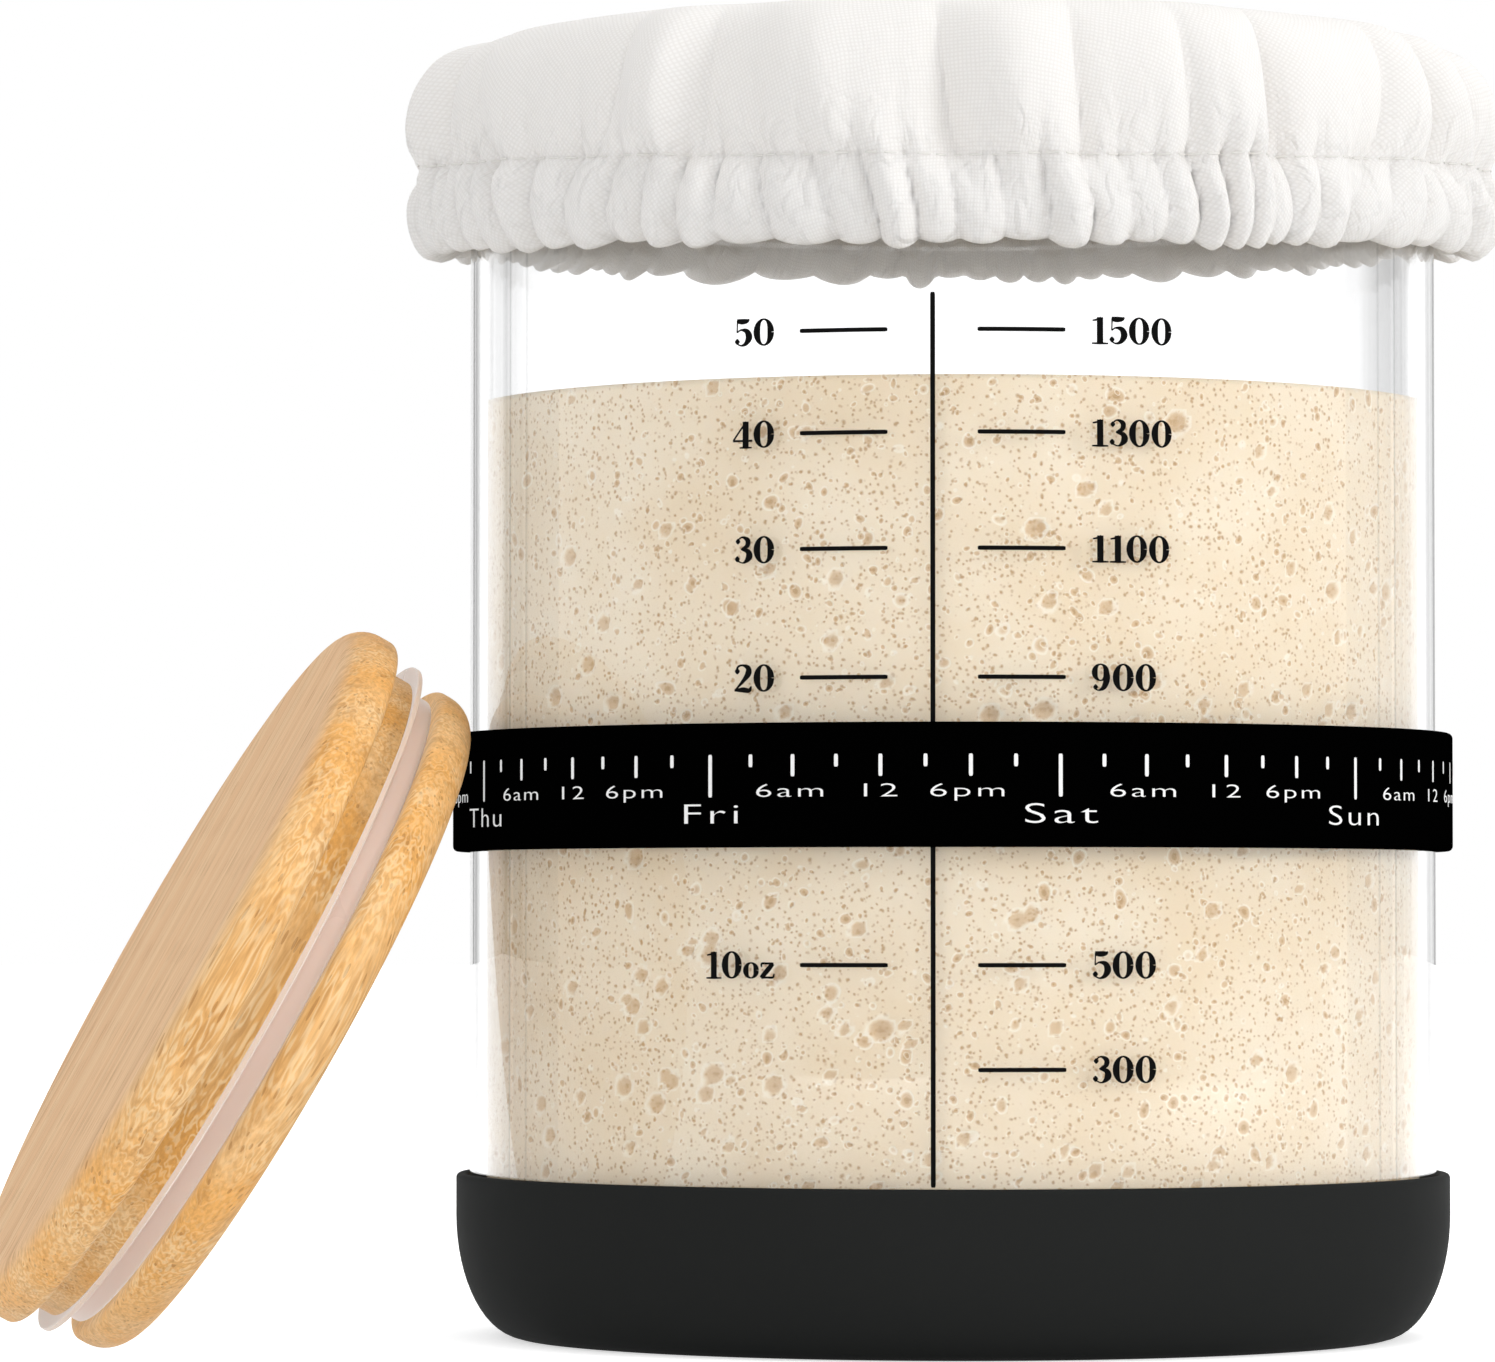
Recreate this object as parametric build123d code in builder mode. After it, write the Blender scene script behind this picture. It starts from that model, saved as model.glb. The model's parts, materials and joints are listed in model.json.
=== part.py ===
from build123d import *
from math import cos, pi, radians, sin
import os

# A glass jar of sourdough starter in a silicone sleeve, with a sliding week band, a gathered
# cotton cover on an elastic, and a wooden lid that leans against the jar's left side.
# Millimetres and degrees. The jar's axis is Z, the floor is z = 0 and the front faces -Y.

# Glass jar: a straight body, a short shoulder under the cover, a neck and a rolled rim
glass_radius = 65.0
glass_wall = 2.2
glass_base = 5.0
glass_corner_width = 7.0
glass_corner_height = 14.5
body_top = 151.5
shoulder_round = 9.0
neck_round = 4.5
neck_length = 1.9
rim_height = 3.6
rim_flat = 0.4
rim_overhang = 1.7
rim_inner_round = 0.6

# Silicone sleeve: an open cup that grips the foot of the jar
sleeve_wall = 1.5
sleeve_floor = 2.0
sleeve_height = 22.0
sleeve_gap = 0.3
sleeve_rim_round = 0.6

# Starter: the batter in the jar, with a slightly crowned top
starter_headroom = 26.5
starter_crown = 1.5
starter_gap = 0.05

# Week band: a stretched ring that slides up and down the glass
band_height = 15.8
band_thickness = 2.0
band_gap = 0.3
band_outer_round = 0.6
band_inner_round = 0.3

# Cotton cover: one round of cloth, gathered into folds by the elastic in its stitched casing
cover_drop = 6.3
cover_top_thickness = 1.1
cover_crown = 2.2
cover_fold_depth = 2.2
cover_folds = 52
cover_tilt = 3.2
cover_gap = 0.4
cover_bore_gap = 0.5
cover_thickness = 2.6
cover_corner_round = 7.0
casing_bulge = 4.6
casing_height = 12.6
casing_slope_height = 4.5
# From the hem up to the crown: height, outline radius, depth of the folds and tilt of each section
cover_level_shares = (0.0, 0.1, 0.24, 0.43, 0.63, 0.84, 0.94, 1.0)
cover_radius_shares = (0.957, 0.985, 1.0, 0.975, 0.976, 0.965, 0.945, 0.92)
cover_fold_shares = (0.6, 0.75, 0.8, 1.0, 0.7, 0.4, 0.25, 0.06)
cover_tilt_shares = (1.0, 1.0, 1.0, 1.0, 0.6, 0.2, 0.06, 0.0)
# The broad soft folds between casing and crown: two waves round the cover, with their number of folds,
# their shares of the depth and where they start, and the share of the depth in each section
cover_swell_depth = 1.6
cover_swell_counts = (17, 11)
cover_swell_wave_shares = (0.6, 0.4)
cover_swell_starts = (46.0, 115.0)
cover_swell_shares = (0.0, 0.0, 0.0, 0.4, 1.0, 0.8, 0.4, 0.0)

# Elastic: a flat braided ring in the casing
elastic_width = 6.0
elastic_thickness = 1.1
elastic_inset = 2.4
elastic_height = 5.6
elastic_gap = 0.1
elastic_round = 0.3

# Wooden lid: one turned piece, face board above, plug below, a groove between for the seal
lid_seat_width = 1.7
lid_board_thickness = 6.9
lid_face_round = 4.2
lid_under_round = 1.2
lid_neck_inset = 1.1
lid_neck_length = 3.8
groove_depth = 2.0
groove_width = 3.5
plug_gap = 0.7
plug_thickness = 6.5
plug_upper_round = 1.2
plug_flat = 0.9

# Seal: a stretched ring with a thin lip that bends against the mouth of the jar
seal_gap = 0.05
seal_body_inset = 0.9
seal_body_round = 0.3
seal_lip_squeeze = 0.4
seal_lip_thickness = 0.7
seal_lip_sweep = 0.5

# Where the lid leans: its tilt from upright, the bearing of its lean and its place beside the jar.
# Its plug's edge rests just over the week band's upper edge.
lid_rest_rise = 0.666
lid_tilt = 29.2
lid_bearing = 11.2
lid_side_offset = 5.6
lid_lean_gap = 0.5

os.makedirs("parts", exist_ok=True)


def turned_outline(corners):
    """Close an outline through corners of (radius, height, rounding)."""
    points = [(radius, height) for radius, height, rounding in corners]
    FilletPolyline(*points, radius=[rounding for radius, height, rounding in corners], close=True)


# Sizes that follow from the ones above
glass_bottom = sleeve_floor
glass_inside = glass_radius - glass_wall
glass_floor = glass_bottom + glass_base
inner_corner_width = glass_corner_width
inner_corner_height = glass_corner_height - glass_base / 2
neck_radius = glass_radius - shoulder_round - neck_round
mouth_radius = neck_radius - glass_wall
neck_bottom = body_top + shoulder_round + neck_round
rim_radius = neck_radius + rim_overhang
rim_bottom = neck_bottom + neck_length
rim_top = rim_bottom + rim_height
rim_outer_round = (rim_height - rim_flat) / 2
starter_level = body_top - starter_headroom
cover_bore = glass_radius + cover_bore_gap
elastic_bore = cover_bore + elastic_inset
cover_radius = elastic_bore + elastic_thickness + casing_bulge
cover_bottom = body_top - cover_drop
cover_height = rim_top + cover_gap + cover_top_thickness - cover_bottom
lid_radius = mouth_radius + lid_seat_width
plug_radius = mouth_radius - plug_gap
plug_lower_round = plug_thickness - plug_upper_round - plug_flat
lid_neck_radius = plug_radius - lid_neck_inset
seal_lip_radius = mouth_radius + seal_lip_squeeze
plug_edge_radius = plug_radius - plug_lower_round
lid_rest_height = plug_lower_round + 2 * plug_edge_radius * cos(radians(lid_tilt))
band_top = lid_rest_height - lid_rest_rise
band_bottom = band_top - band_height

with BuildPart() as base_sleeve:
    outer_radius = glass_radius + sleeve_gap + sleeve_wall
    bore_radius = glass_radius + sleeve_gap
    with BuildSketch(Plane.XZ):
        with BuildLine():
            inner_width = glass_corner_width + sleeve_gap
            inner_foot = bore_radius - inner_width
            outer_width = inner_width + sleeve_wall
            outer_height = glass_corner_height + sleeve_floor
            outer_foot = outer_radius - outer_width
            Line((0, 0), (outer_foot, 0))
            EllipticalCenterArc((outer_foot, outer_height), outer_width, outer_height, 270, arc_size=90)
            Line((outer_radius, outer_height), (outer_radius, sleeve_height))
            Line((outer_radius, sleeve_height), (bore_radius, sleeve_height))
            Line((bore_radius, sleeve_height), (bore_radius, outer_height))
            EllipticalCenterArc(
                (inner_foot, outer_height), inner_width, glass_corner_height, 270, arc_size=90
            )
            Line((inner_foot, sleeve_floor), (0, sleeve_floor))
            Line((0, sleeve_floor), (0, 0))
        make_face()
    revolve(axis=Axis.Z)
    rim_edges = base_sleeve.edges().filter_by(GeomType.CIRCLE).group_by(Axis.Z)[-1]
    fillet(rim_edges, sleeve_rim_round)
base_sleeve.part.label = "base_sleeve"

with BuildPart() as glass_jar:
    with BuildSketch(Plane.XZ):
        with BuildLine():
            foot_radius = glass_radius - glass_corner_width
            corner_top = glass_bottom + glass_corner_height
            arch_radius = glass_radius - shoulder_round
            Line((0, glass_bottom), (foot_radius, glass_bottom))
            EllipticalCenterArc(
                (foot_radius, corner_top), glass_corner_width, glass_corner_height, 270, arc_size=90
            )
            Line((glass_radius, corner_top), (glass_radius, body_top))
            CenterArc((arch_radius, body_top), shoulder_round, 0, 90)
            CenterArc((arch_radius, neck_bottom), neck_round, 270, -90)
            Line((neck_radius, neck_bottom), (neck_radius, rim_bottom))
            Line((neck_radius, rim_bottom), (mouth_radius, rim_bottom))
            Line((mouth_radius, rim_bottom), (mouth_radius, neck_bottom))
            CenterArc((arch_radius, neck_bottom), neck_round + glass_wall, 180, 90)
            CenterArc((arch_radius, body_top), shoulder_round - glass_wall, 90, -90)
            inner_foot = glass_inside - inner_corner_width
            inner_corner_top = glass_floor + inner_corner_height
            Line((glass_inside, body_top), (glass_inside, inner_corner_top))
            EllipticalCenterArc(
                (inner_foot, inner_corner_top), inner_corner_width, inner_corner_height, 270, arc_size=90
            )
            Line((inner_foot, glass_floor), (0, glass_floor))
            Line((0, glass_floor), (0, glass_bottom))
        make_face()
        with BuildLine():
            turned_outline([
                (mouth_radius, rim_bottom, 0),
                (rim_radius, rim_bottom, rim_outer_round),
                (rim_radius, rim_top, rim_outer_round),
                (mouth_radius, rim_top, rim_inner_round),
            ])
        make_face()
    revolve(axis=Axis.Z)
glass_jar.part.label = "glass_jar"

with BuildPart() as sourdough_starter:
    with BuildSketch(Plane.XZ):
        with BuildLine():
            side_radius = glass_inside - starter_gap
            foot_radius = side_radius - inner_corner_width
            starter_floor = glass_floor + starter_gap
            corner_top = starter_floor + inner_corner_height
            crown_top = starter_level + starter_crown
            crown_round = (side_radius**2 + starter_crown**2) / (2 * starter_crown)
            Line((0, starter_floor), (foot_radius, starter_floor))
            EllipticalCenterArc(
                (foot_radius, corner_top), inner_corner_width, inner_corner_height, 270, arc_size=90
            )
            Line((side_radius, corner_top), (side_radius, starter_level))
            RadiusArc((side_radius, starter_level), (0, crown_top), -crown_round)
            Line((0, crown_top), (0, starter_floor))
        make_face()
    revolve(axis=Axis.Z)
sourdough_starter.part.label = "sourdough_starter"

with BuildPart() as day_band:
    band_bore = glass_radius + band_gap
    band_radius = band_bore + band_thickness
    with BuildSketch(Plane.XZ):
        with BuildLine():
            turned_outline([
                (band_bore, band_bottom, band_inner_round),
                (band_radius, band_bottom, band_outer_round),
                (band_radius, band_top, band_outer_round),
                (band_bore, band_top, band_inner_round),
            ])
        make_face()
    revolve(axis=Axis.Z)
day_band.part.label = "day_band"


def cover_plane(height, tilt):
    """Return a plane across the cover at a height, tipped so that its front is lower."""
    return Plane(origin=(0, 0, height), x_dir=(1, 0, 0), z_dir=(0, -sin(radians(tilt)), cos(radians(tilt))))


def fold_point(radius, step, swell):
    """Return the point of the cover's outline that lies half folds round from +X, moved out by its broad fold."""
    angle = pi * step / cover_folds
    waves = zip(cover_swell_counts, cover_swell_wave_shares, cover_swell_starts)
    reach = radius + swell * sum(share * sin(count * angle + radians(start)) for count, share, start in waves)
    return (reach * cos(angle), reach * sin(angle))


elastic_plane = cover_plane(cover_bottom + elastic_height, cover_tilt)
elastic_section = Plane(origin=elastic_plane.origin, x_dir=elastic_plane.x_dir, z_dir=-elastic_plane.y_dir)

with BuildPart() as cover_cloth:
    sections = zip(
        cover_level_shares, cover_radius_shares, cover_fold_shares, cover_tilt_shares, cover_swell_shares
    )
    for level_share, radius_share, fold_share, tilt_share, swell_share in sections:
        crest = cover_radius * radius_share
        valley = crest - cover_fold_depth * fold_share
        swell = cover_swell_depth * swell_share
        height = cover_bottom + cover_height * level_share
        with BuildSketch(cover_plane(height, cover_tilt * tilt_share)):
            with BuildLine():
                for fold in range(cover_folds):
                    ThreePointArc(
                        fold_point(valley, 2 * fold, swell),
                        fold_point(crest, 2 * fold + 1, swell),
                        fold_point(valley, 2 * fold + 2, swell),
                    )
            make_face()
    loft()
    # The crown over the mouth, a shallow dome from the top fold line
    with BuildSketch(Plane.XZ):
        with BuildLine():
            crown_base = cover_bottom + cover_height
            crown_top = crown_base + cover_crown
            crown_inset = cover_fold_depth * cover_fold_shares[-1]
            crown_edge = cover_radius * cover_radius_shares[-1] - crown_inset
            crown_round = (crown_edge**2 + cover_crown**2) / (2 * cover_crown)
            Line((0, crown_base), (crown_edge, crown_base))
            RadiusArc((crown_edge, crown_base), (0, crown_top), -crown_round)
            Line((0, crown_top), (0, crown_base))
        make_face()
    revolve(axis=Axis.Z)
    # The room inside: a bore that hugs the glass, then the hollow over shoulder and rim
    with BuildSketch(Plane.XZ):
        with BuildLine():
            cavity_top = rim_top + cover_gap
            waist_radius = cover_radius * min(cover_radius_shares[3:6])
            cavity_radius = waist_radius - cover_fold_depth - cover_thickness
            slope_bottom = cover_bottom + casing_height
            slope_top = slope_bottom + casing_slope_height
            below = cover_bottom - cover_height
            turned_outline([
                (0, below, 0),
                (cover_bore, below, 0),
                (cover_bore, slope_bottom, 0),
                (cavity_radius, slope_top, 0),
                (cavity_radius, cavity_top, cover_corner_round),
                (0, cavity_top, 0),
            ])
        make_face()
    revolve(axis=Axis.Z, mode=Mode.SUBTRACT)
    # The closed channel that the elastic runs in
    with BuildSketch(elastic_section):
        with BuildLine():
            channel_inner = elastic_bore - elastic_gap
            channel_outer = elastic_bore + elastic_thickness + elastic_gap
            channel_half = elastic_width / 2 + elastic_gap
            channel_round = elastic_round + elastic_gap
            turned_outline([
                (channel_inner, -channel_half, channel_round),
                (channel_outer, -channel_half, channel_round),
                (channel_outer, channel_half, channel_round),
                (channel_inner, channel_half, channel_round),
            ])
        make_face()
    revolve(axis=Axis(elastic_plane.origin, elastic_plane.z_dir), mode=Mode.SUBTRACT)
cover_cloth.part.label = "cover_cloth"

with BuildPart() as cover_elastic:
    with BuildSketch(elastic_section):
        with BuildLine():
            turned_outline([
                (elastic_bore, -elastic_width / 2, elastic_round),
                (elastic_bore + elastic_thickness, -elastic_width / 2, elastic_round),
                (elastic_bore + elastic_thickness, elastic_width / 2, elastic_round),
                (elastic_bore, elastic_width / 2, elastic_round),
            ])
        make_face()
    revolve(axis=Axis(elastic_plane.origin, elastic_plane.z_dir))
cover_elastic.part.label = "cover_elastic"

# The leaning lid's own frame: its plug's edge stands on the floor and rests beside the band
lean = Vector(cos(radians(lid_bearing)), sin(radians(lid_bearing)), 0)
sideways = Vector(-sin(radians(lid_bearing)), cos(radians(lid_bearing)), 0)
upright = Vector(0, 0, 1)
lid_normal = upright * sin(radians(lid_tilt)) - lean * cos(radians(lid_tilt))
lid_slope = upright * cos(radians(lid_tilt)) + lean * sin(radians(lid_tilt))
lid_thickness = lid_board_thickness + lid_neck_length + groove_width + plug_thickness
plug_reach = band_radius + lid_lean_gap + plug_lower_round + plug_edge_radius * sin(radians(lid_tilt))
plug_height = plug_lower_round + plug_edge_radius * cos(radians(lid_tilt))
plug_centre = upright * plug_height - lean * plug_reach - sideways * lid_side_offset
lid_centre = plug_centre + lid_normal * (lid_thickness - plug_lower_round)
lid_section = Plane(origin=lid_centre, x_dir=lid_slope, z_dir=-sideways)
lid_axis = Axis(lid_centre, lid_normal)

neck_end = -lid_board_thickness - lid_neck_length
groove_end = neck_end - groove_width
groove_radius = lid_neck_radius - groove_depth

with BuildPart() as lid_board:
    with BuildSketch(lid_section):
        with BuildLine():
            turned_outline([
                (0, 0, 0),
                (lid_radius, 0, lid_face_round),
                (lid_radius, -lid_board_thickness, lid_under_round),
                (lid_neck_radius, -lid_board_thickness, 0),
                (lid_neck_radius, neck_end, 0),
                (groove_radius, neck_end, 0),
                (groove_radius, groove_end, 0),
                (plug_radius, groove_end, plug_upper_round),
                (plug_radius, -lid_thickness, plug_lower_round),
                (0, -lid_thickness, 0),
            ])
        make_face()
    revolve(axis=lid_axis)
lid_board.part.label = "lid_board"

with BuildPart() as lid_seal:
    with BuildSketch(lid_section):
        with BuildLine():
            seal_inner = groove_radius + seal_gap
            seal_outer = lid_neck_radius - seal_body_inset
            seal_top = neck_end - seal_gap
            seal_bottom = groove_end + seal_gap
            lip_root = seal_top - seal_lip_thickness
            lip_tip = neck_end + seal_lip_sweep
            turned_outline([
                (seal_inner, seal_top, 0),
                (lid_neck_radius + seal_gap, seal_top, 0),
                (seal_lip_radius, lip_tip, 0),
                (seal_lip_radius, lip_tip - seal_lip_thickness, 0),
                (seal_outer, lip_root, seal_body_round),
                (seal_outer, seal_bottom, seal_body_round),
                (seal_inner, seal_bottom, 0),
            ])
        make_face()
    revolve(axis=lid_axis)
lid_seal.part.label = "lid_seal"

pieces = (
    base_sleeve, glass_jar, sourdough_starter, day_band,
    cover_cloth, cover_elastic, lid_board, lid_seal,
)
for piece in pieces:
    export_step(piece.part, f"parts/{piece.part.label}.step")
    box = piece.part.bounding_box()
    print(piece.part.label, "from", box.min, "to", box.max, "volume", round(piece.part.volume))
print("lid face centre", lid_centre, "normal", lid_normal)
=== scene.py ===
"""Blender scene of a sourdough starter jar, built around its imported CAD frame.

The glass, its starter, the silicone sleeve and week band, the gathered cotton cover and the leaning
bamboo lid are surfaces worked out with numpy, in metres, in the frame of the CAD model.
"""

import json
import logging
import math
from dataclasses import dataclass, field
from enum import Enum

import bmesh
import bpy
import numpy as np
from mathutils import Matrix, Vector


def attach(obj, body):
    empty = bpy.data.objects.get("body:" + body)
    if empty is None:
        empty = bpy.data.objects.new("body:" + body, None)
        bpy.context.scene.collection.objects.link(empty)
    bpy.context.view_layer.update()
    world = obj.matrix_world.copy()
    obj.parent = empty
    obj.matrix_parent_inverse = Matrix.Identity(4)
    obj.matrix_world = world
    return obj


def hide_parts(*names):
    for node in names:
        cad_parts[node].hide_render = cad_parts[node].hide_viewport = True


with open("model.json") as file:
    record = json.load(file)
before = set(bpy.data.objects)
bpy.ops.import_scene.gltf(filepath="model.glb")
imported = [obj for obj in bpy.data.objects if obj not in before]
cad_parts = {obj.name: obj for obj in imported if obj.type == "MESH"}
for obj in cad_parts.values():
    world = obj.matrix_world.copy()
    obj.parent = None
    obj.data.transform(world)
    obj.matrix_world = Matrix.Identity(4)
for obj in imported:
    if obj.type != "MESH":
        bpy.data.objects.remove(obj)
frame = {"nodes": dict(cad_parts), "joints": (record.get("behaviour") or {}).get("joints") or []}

LOG = logging.getLogger("starter_jar")
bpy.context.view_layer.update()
MM = 0.001
ROUND_SEGMENTS = 256
# Directions in an outline, as steps of radius and height
OUT, IN, UP, DOWN = (1.0, 0.0), (-1.0, 0.0), (0.0, 1.0), (0.0, -1.0)

Socket = bpy.types.NodeSocket
Place = tuple[float, float]
Spot = Colour = tuple[float, float, float]
Places = tuple[Place, ...]
Stops = Places


class Slot(Enum):
    """The record's material slots, by the finish they carry."""

    SLEEVE = "sleeve_silicone"
    GLASS = "jar_glass"
    STARTER = "starter"
    BAND = "band_silicone"
    COTTON = "cover_cotton"
    WOOD = "lid_wood"
    SEAL = "seal_silicone"


class Body(Enum):
    """The rigid bodies that pieces ride on."""

    SLEEVE = "sleeve"
    JAR = "jar"
    BAND = "band"
    COVER = "cover"
    LID = "lid"


# Meshes


@dataclass(frozen=True)
class Corner:
    """A corner of a turned outline: its radius, its height and how far it is rounded, in metres."""

    radius: float
    height: float
    rounding: float = 0.0


def rounded_outline(corners: list[Corner], closed: bool, arc_steps: int = 6) -> np.ndarray:
    """Round the corners of an outline with arcs that are tangent to both of their sides.

    An arc of radius q at a corner of half angle h starts q / tan(h) along each side. A guard point just
    outside each end of an arc keeps smooth shading off the flat stretches.

    Args:
        corners: the outline's corners, in order.
        closed: whether the last corner joins the first.
        arc_steps: spans in each rounded corner.

    Returns:
        The outline's points as rows of radius and height.
    """
    places = np.array([(c.radius, c.height) for c in corners])
    count = len(corners)
    rows: list[np.ndarray] = []
    for index, corner in enumerate(corners):
        end = not closed and index in (0, count - 1)
        if end or corner.rounding <= 0.0:
            rows.append(places[index][None, :])
            continue
        here = places[index]
        back = places[index - 1] - here
        ahead = places[(index + 1) % count] - here
        back_room, ahead_room = np.linalg.norm(back), np.linalg.norm(ahead)
        back, ahead = back / back_room, ahead / ahead_room
        half = 0.5 * math.acos(float(np.clip(back @ ahead, -1.0, 1.0)))
        reach = corner.rounding / math.tan(half)
        middle = here + (back + ahead) / np.linalg.norm(back + ahead) * corner.rounding / math.sin(half)
        first = here + back * reach - middle
        last = here + ahead * reach - middle
        turn = math.acos(float(np.clip(first @ last / corner.rounding**2, -1.0, 1.0)))
        share = np.linspace(0.0, 1.0, arc_steps + 1)[:, None]
        arc = (np.sin((1.0 - share) * turn) * first + np.sin(share * turn) * last) / math.sin(turn)
        guard = 0.15 * corner.rounding
        if reach + guard < 0.9 * back_room:
            rows.append((here + back * (reach + guard))[None, :])
        rows.append(middle + arc)
        if reach + guard < 0.9 * ahead_room:
            rows.append((here + ahead * (reach + guard))[None, :])
    return np.vstack(rows)


def quarter(
    centre: Place, size: float | Place, first: Place = DOWN, last: Place = OUT, steps: int = 16
) -> np.ndarray:
    """Give a quarter of a circle or an ellipse.

    Its points are centre + size (first cos t + last sin t), with t from 0 to 90 degrees.

    Args:
        centre: its centre as radius and height.
        size: its radius, or its half width and half height.
        first: the direction from the centre to its start.
        last: the direction from the centre to its end.
        steps: spans along it.

    Returns:
        Rows of radius and height.
    """
    turn = np.linspace(0.0, math.pi / 2, steps + 1)[:, None]
    return np.array(centre) + np.array(size) * (np.cos(turn) * first + np.sin(turn) * last)


@dataclass(frozen=True)
class TurningAxis:
    """An axis that outlines are turned about, with a direction across it to start from."""

    origin: np.ndarray
    along: np.ndarray
    across: np.ndarray

    @classmethod
    def upright(cls) -> "TurningAxis":
        """Give the jar's own axis, starting at the front."""
        return cls(np.zeros(3), np.array([0.0, 0.0, 1.0]), np.array([0.0, -1.0, 0.0]))

    def place(self, radius: np.ndarray, angle: np.ndarray, height: np.ndarray) -> np.ndarray:
        """Place points at origin + radius (across cos angle + side sin angle) + height along."""
        side = np.cross(self.along, self.across)
        round_part = np.cos(angle)[..., None] * self.across + np.sin(angle)[..., None] * side
        return self.origin + radius[..., None] * round_part + height[..., None] * self.along


def place_object(name: str, data: bpy.types.ID) -> bpy.types.Object:
    """Make an object at the origin from its data and link it to the scene."""
    obj = bpy.data.objects.new(name, data)
    bpy.context.scene.collection.objects.link(obj)
    return obj


def mesh_object(name: str, points: np.ndarray, faces: list | np.ndarray) -> bpy.types.Object:
    """Make an object at the origin from points and faces, shaded smooth.

    Args:
        name: the piece's name.
        points: rows of x, y and z in metres.
        faces: index rows, all of one length or a list of rows of any length.

    Returns:
        The new object, linked to the scene.
    """
    mesh = bpy.data.meshes.new(name)
    face_rows = faces.tolist() if isinstance(faces, np.ndarray) else faces
    mesh.from_pydata(points.tolist(), [], face_rows)
    mesh.validate()
    mesh.shade_smooth()
    return place_object(name, mesh)


def grid_faces(rows: int, columns: int, wrap_rows: bool, wrap_columns: bool) -> np.ndarray:
    """List the quads between the neighbours of a grid of points.

    Args:
        rows: points down the grid.
        columns: points across it.
        wrap_rows: whether the last row joins the first.
        wrap_columns: whether the last column joins the first.

    Returns:
        One row of four indices for each quad.
    """
    row = np.arange(rows if wrap_rows else rows - 1)[:, None]
    column = np.arange(columns if wrap_columns else columns - 1)[None, :]
    below, beside = (row + 1) % rows, (column + 1) % columns
    row, below = row * columns, below * columns
    return np.stack((row + column, row + beside, below + beside, below + column), axis=-1).reshape(-1, 4)


def coordinates(mesh: bpy.types.Mesh) -> np.ndarray:
    """Read a mesh's points as rows of x, y and z."""
    points = np.empty(len(mesh.vertices) * 3)
    mesh.vertices.foreach_get("co", points)
    return points.reshape(-1, 3)


def set_point_attribute(obj: bpy.types.Object, name: str, values: np.ndarray) -> None:
    """Store one number for each vertex under a name that materials can read."""
    layer = obj.data.attributes.new(name, "FLOAT", "POINT")
    layer.data.foreach_set("value", np.ascontiguousarray(values, dtype=np.float32))


def set_vertex_uv(obj: bpy.types.Object, places: np.ndarray) -> None:
    """Give a mesh a UV map from one place for each vertex.

    Args:
        obj: the piece.
        places: rows of u and v, one for each vertex.
    """
    layer = obj.data.uv_layers.new(name="cloth")
    owners = np.empty(len(obj.data.loops), dtype=np.int32)
    obj.data.loops.foreach_get("vertex_index", owners)
    layer.data.foreach_set("uv", np.ascontiguousarray(places[owners], dtype=np.float32).ravel())


def face_outwards(obj: bpy.types.Object, merge: float = 0.0) -> None:
    """Turn the faces of closed shells so that they point outwards.

    Args:
        obj: the piece.
        merge: points nearer together than this are joined first.
    """
    shell = bmesh.new()
    shell.from_mesh(obj.data)
    if merge:
        bmesh.ops.remove_doubles(shell, verts=shell.verts, dist=merge)
    bmesh.ops.recalc_face_normals(shell, faces=shell.faces)
    shell.to_mesh(obj.data)
    shell.free()


def turned(
    name: str,
    outline: np.ndarray,
    axis: TurningAxis | None = None,
    closed: bool = False,
    segments: int = ROUND_SEGMENTS,
) -> bpy.types.Object:
    """Turn an outline about an axis into a closed shell.

    The point at row i and column j is the outline's point i, turned by j of the equal steps round. An open
    outline starts and ends on the axis, where one point and a fan of triangles close the shell.

    Args:
        name: the piece's name.
        outline: rows of radius and height.
        axis: the axis to turn about, the jar's own where none is given.
        closed: whether the outline is a loop that stays clear of the axis.
        segments: steps round the axis.

    Returns:
        The new object.
    """
    axis = axis or TurningAxis.upright()
    angle = np.arange(segments) * (math.tau / segments)
    ring = outline if closed else outline[1:-1]
    radius, turn = np.meshgrid(ring[:, 0], angle, indexing="ij")
    height = np.repeat(ring[:, 1][:, None], segments, axis=1)
    points = axis.place(radius, turn, height).reshape(-1, 3)
    faces = grid_faces(len(ring), segments, closed, True).tolist()
    if not closed:
        poles = axis.place(np.zeros(2), np.zeros(2), outline[[0, -1], 1])
        last_row = (len(ring) - 1) * segments
        column = np.arange(segments)
        beside, pole = (column + 1) % segments, np.full(segments, len(points))
        first_fan = np.column_stack([pole, beside, column])
        last_fan = np.column_stack([pole + 1, last_row + column, last_row + beside])
        faces += first_fan.tolist() + last_fan.tolist()
        points = np.vstack([points, poles])
    obj = mesh_object(name, points, faces)
    face_outwards(obj)
    return obj


# Materials


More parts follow.
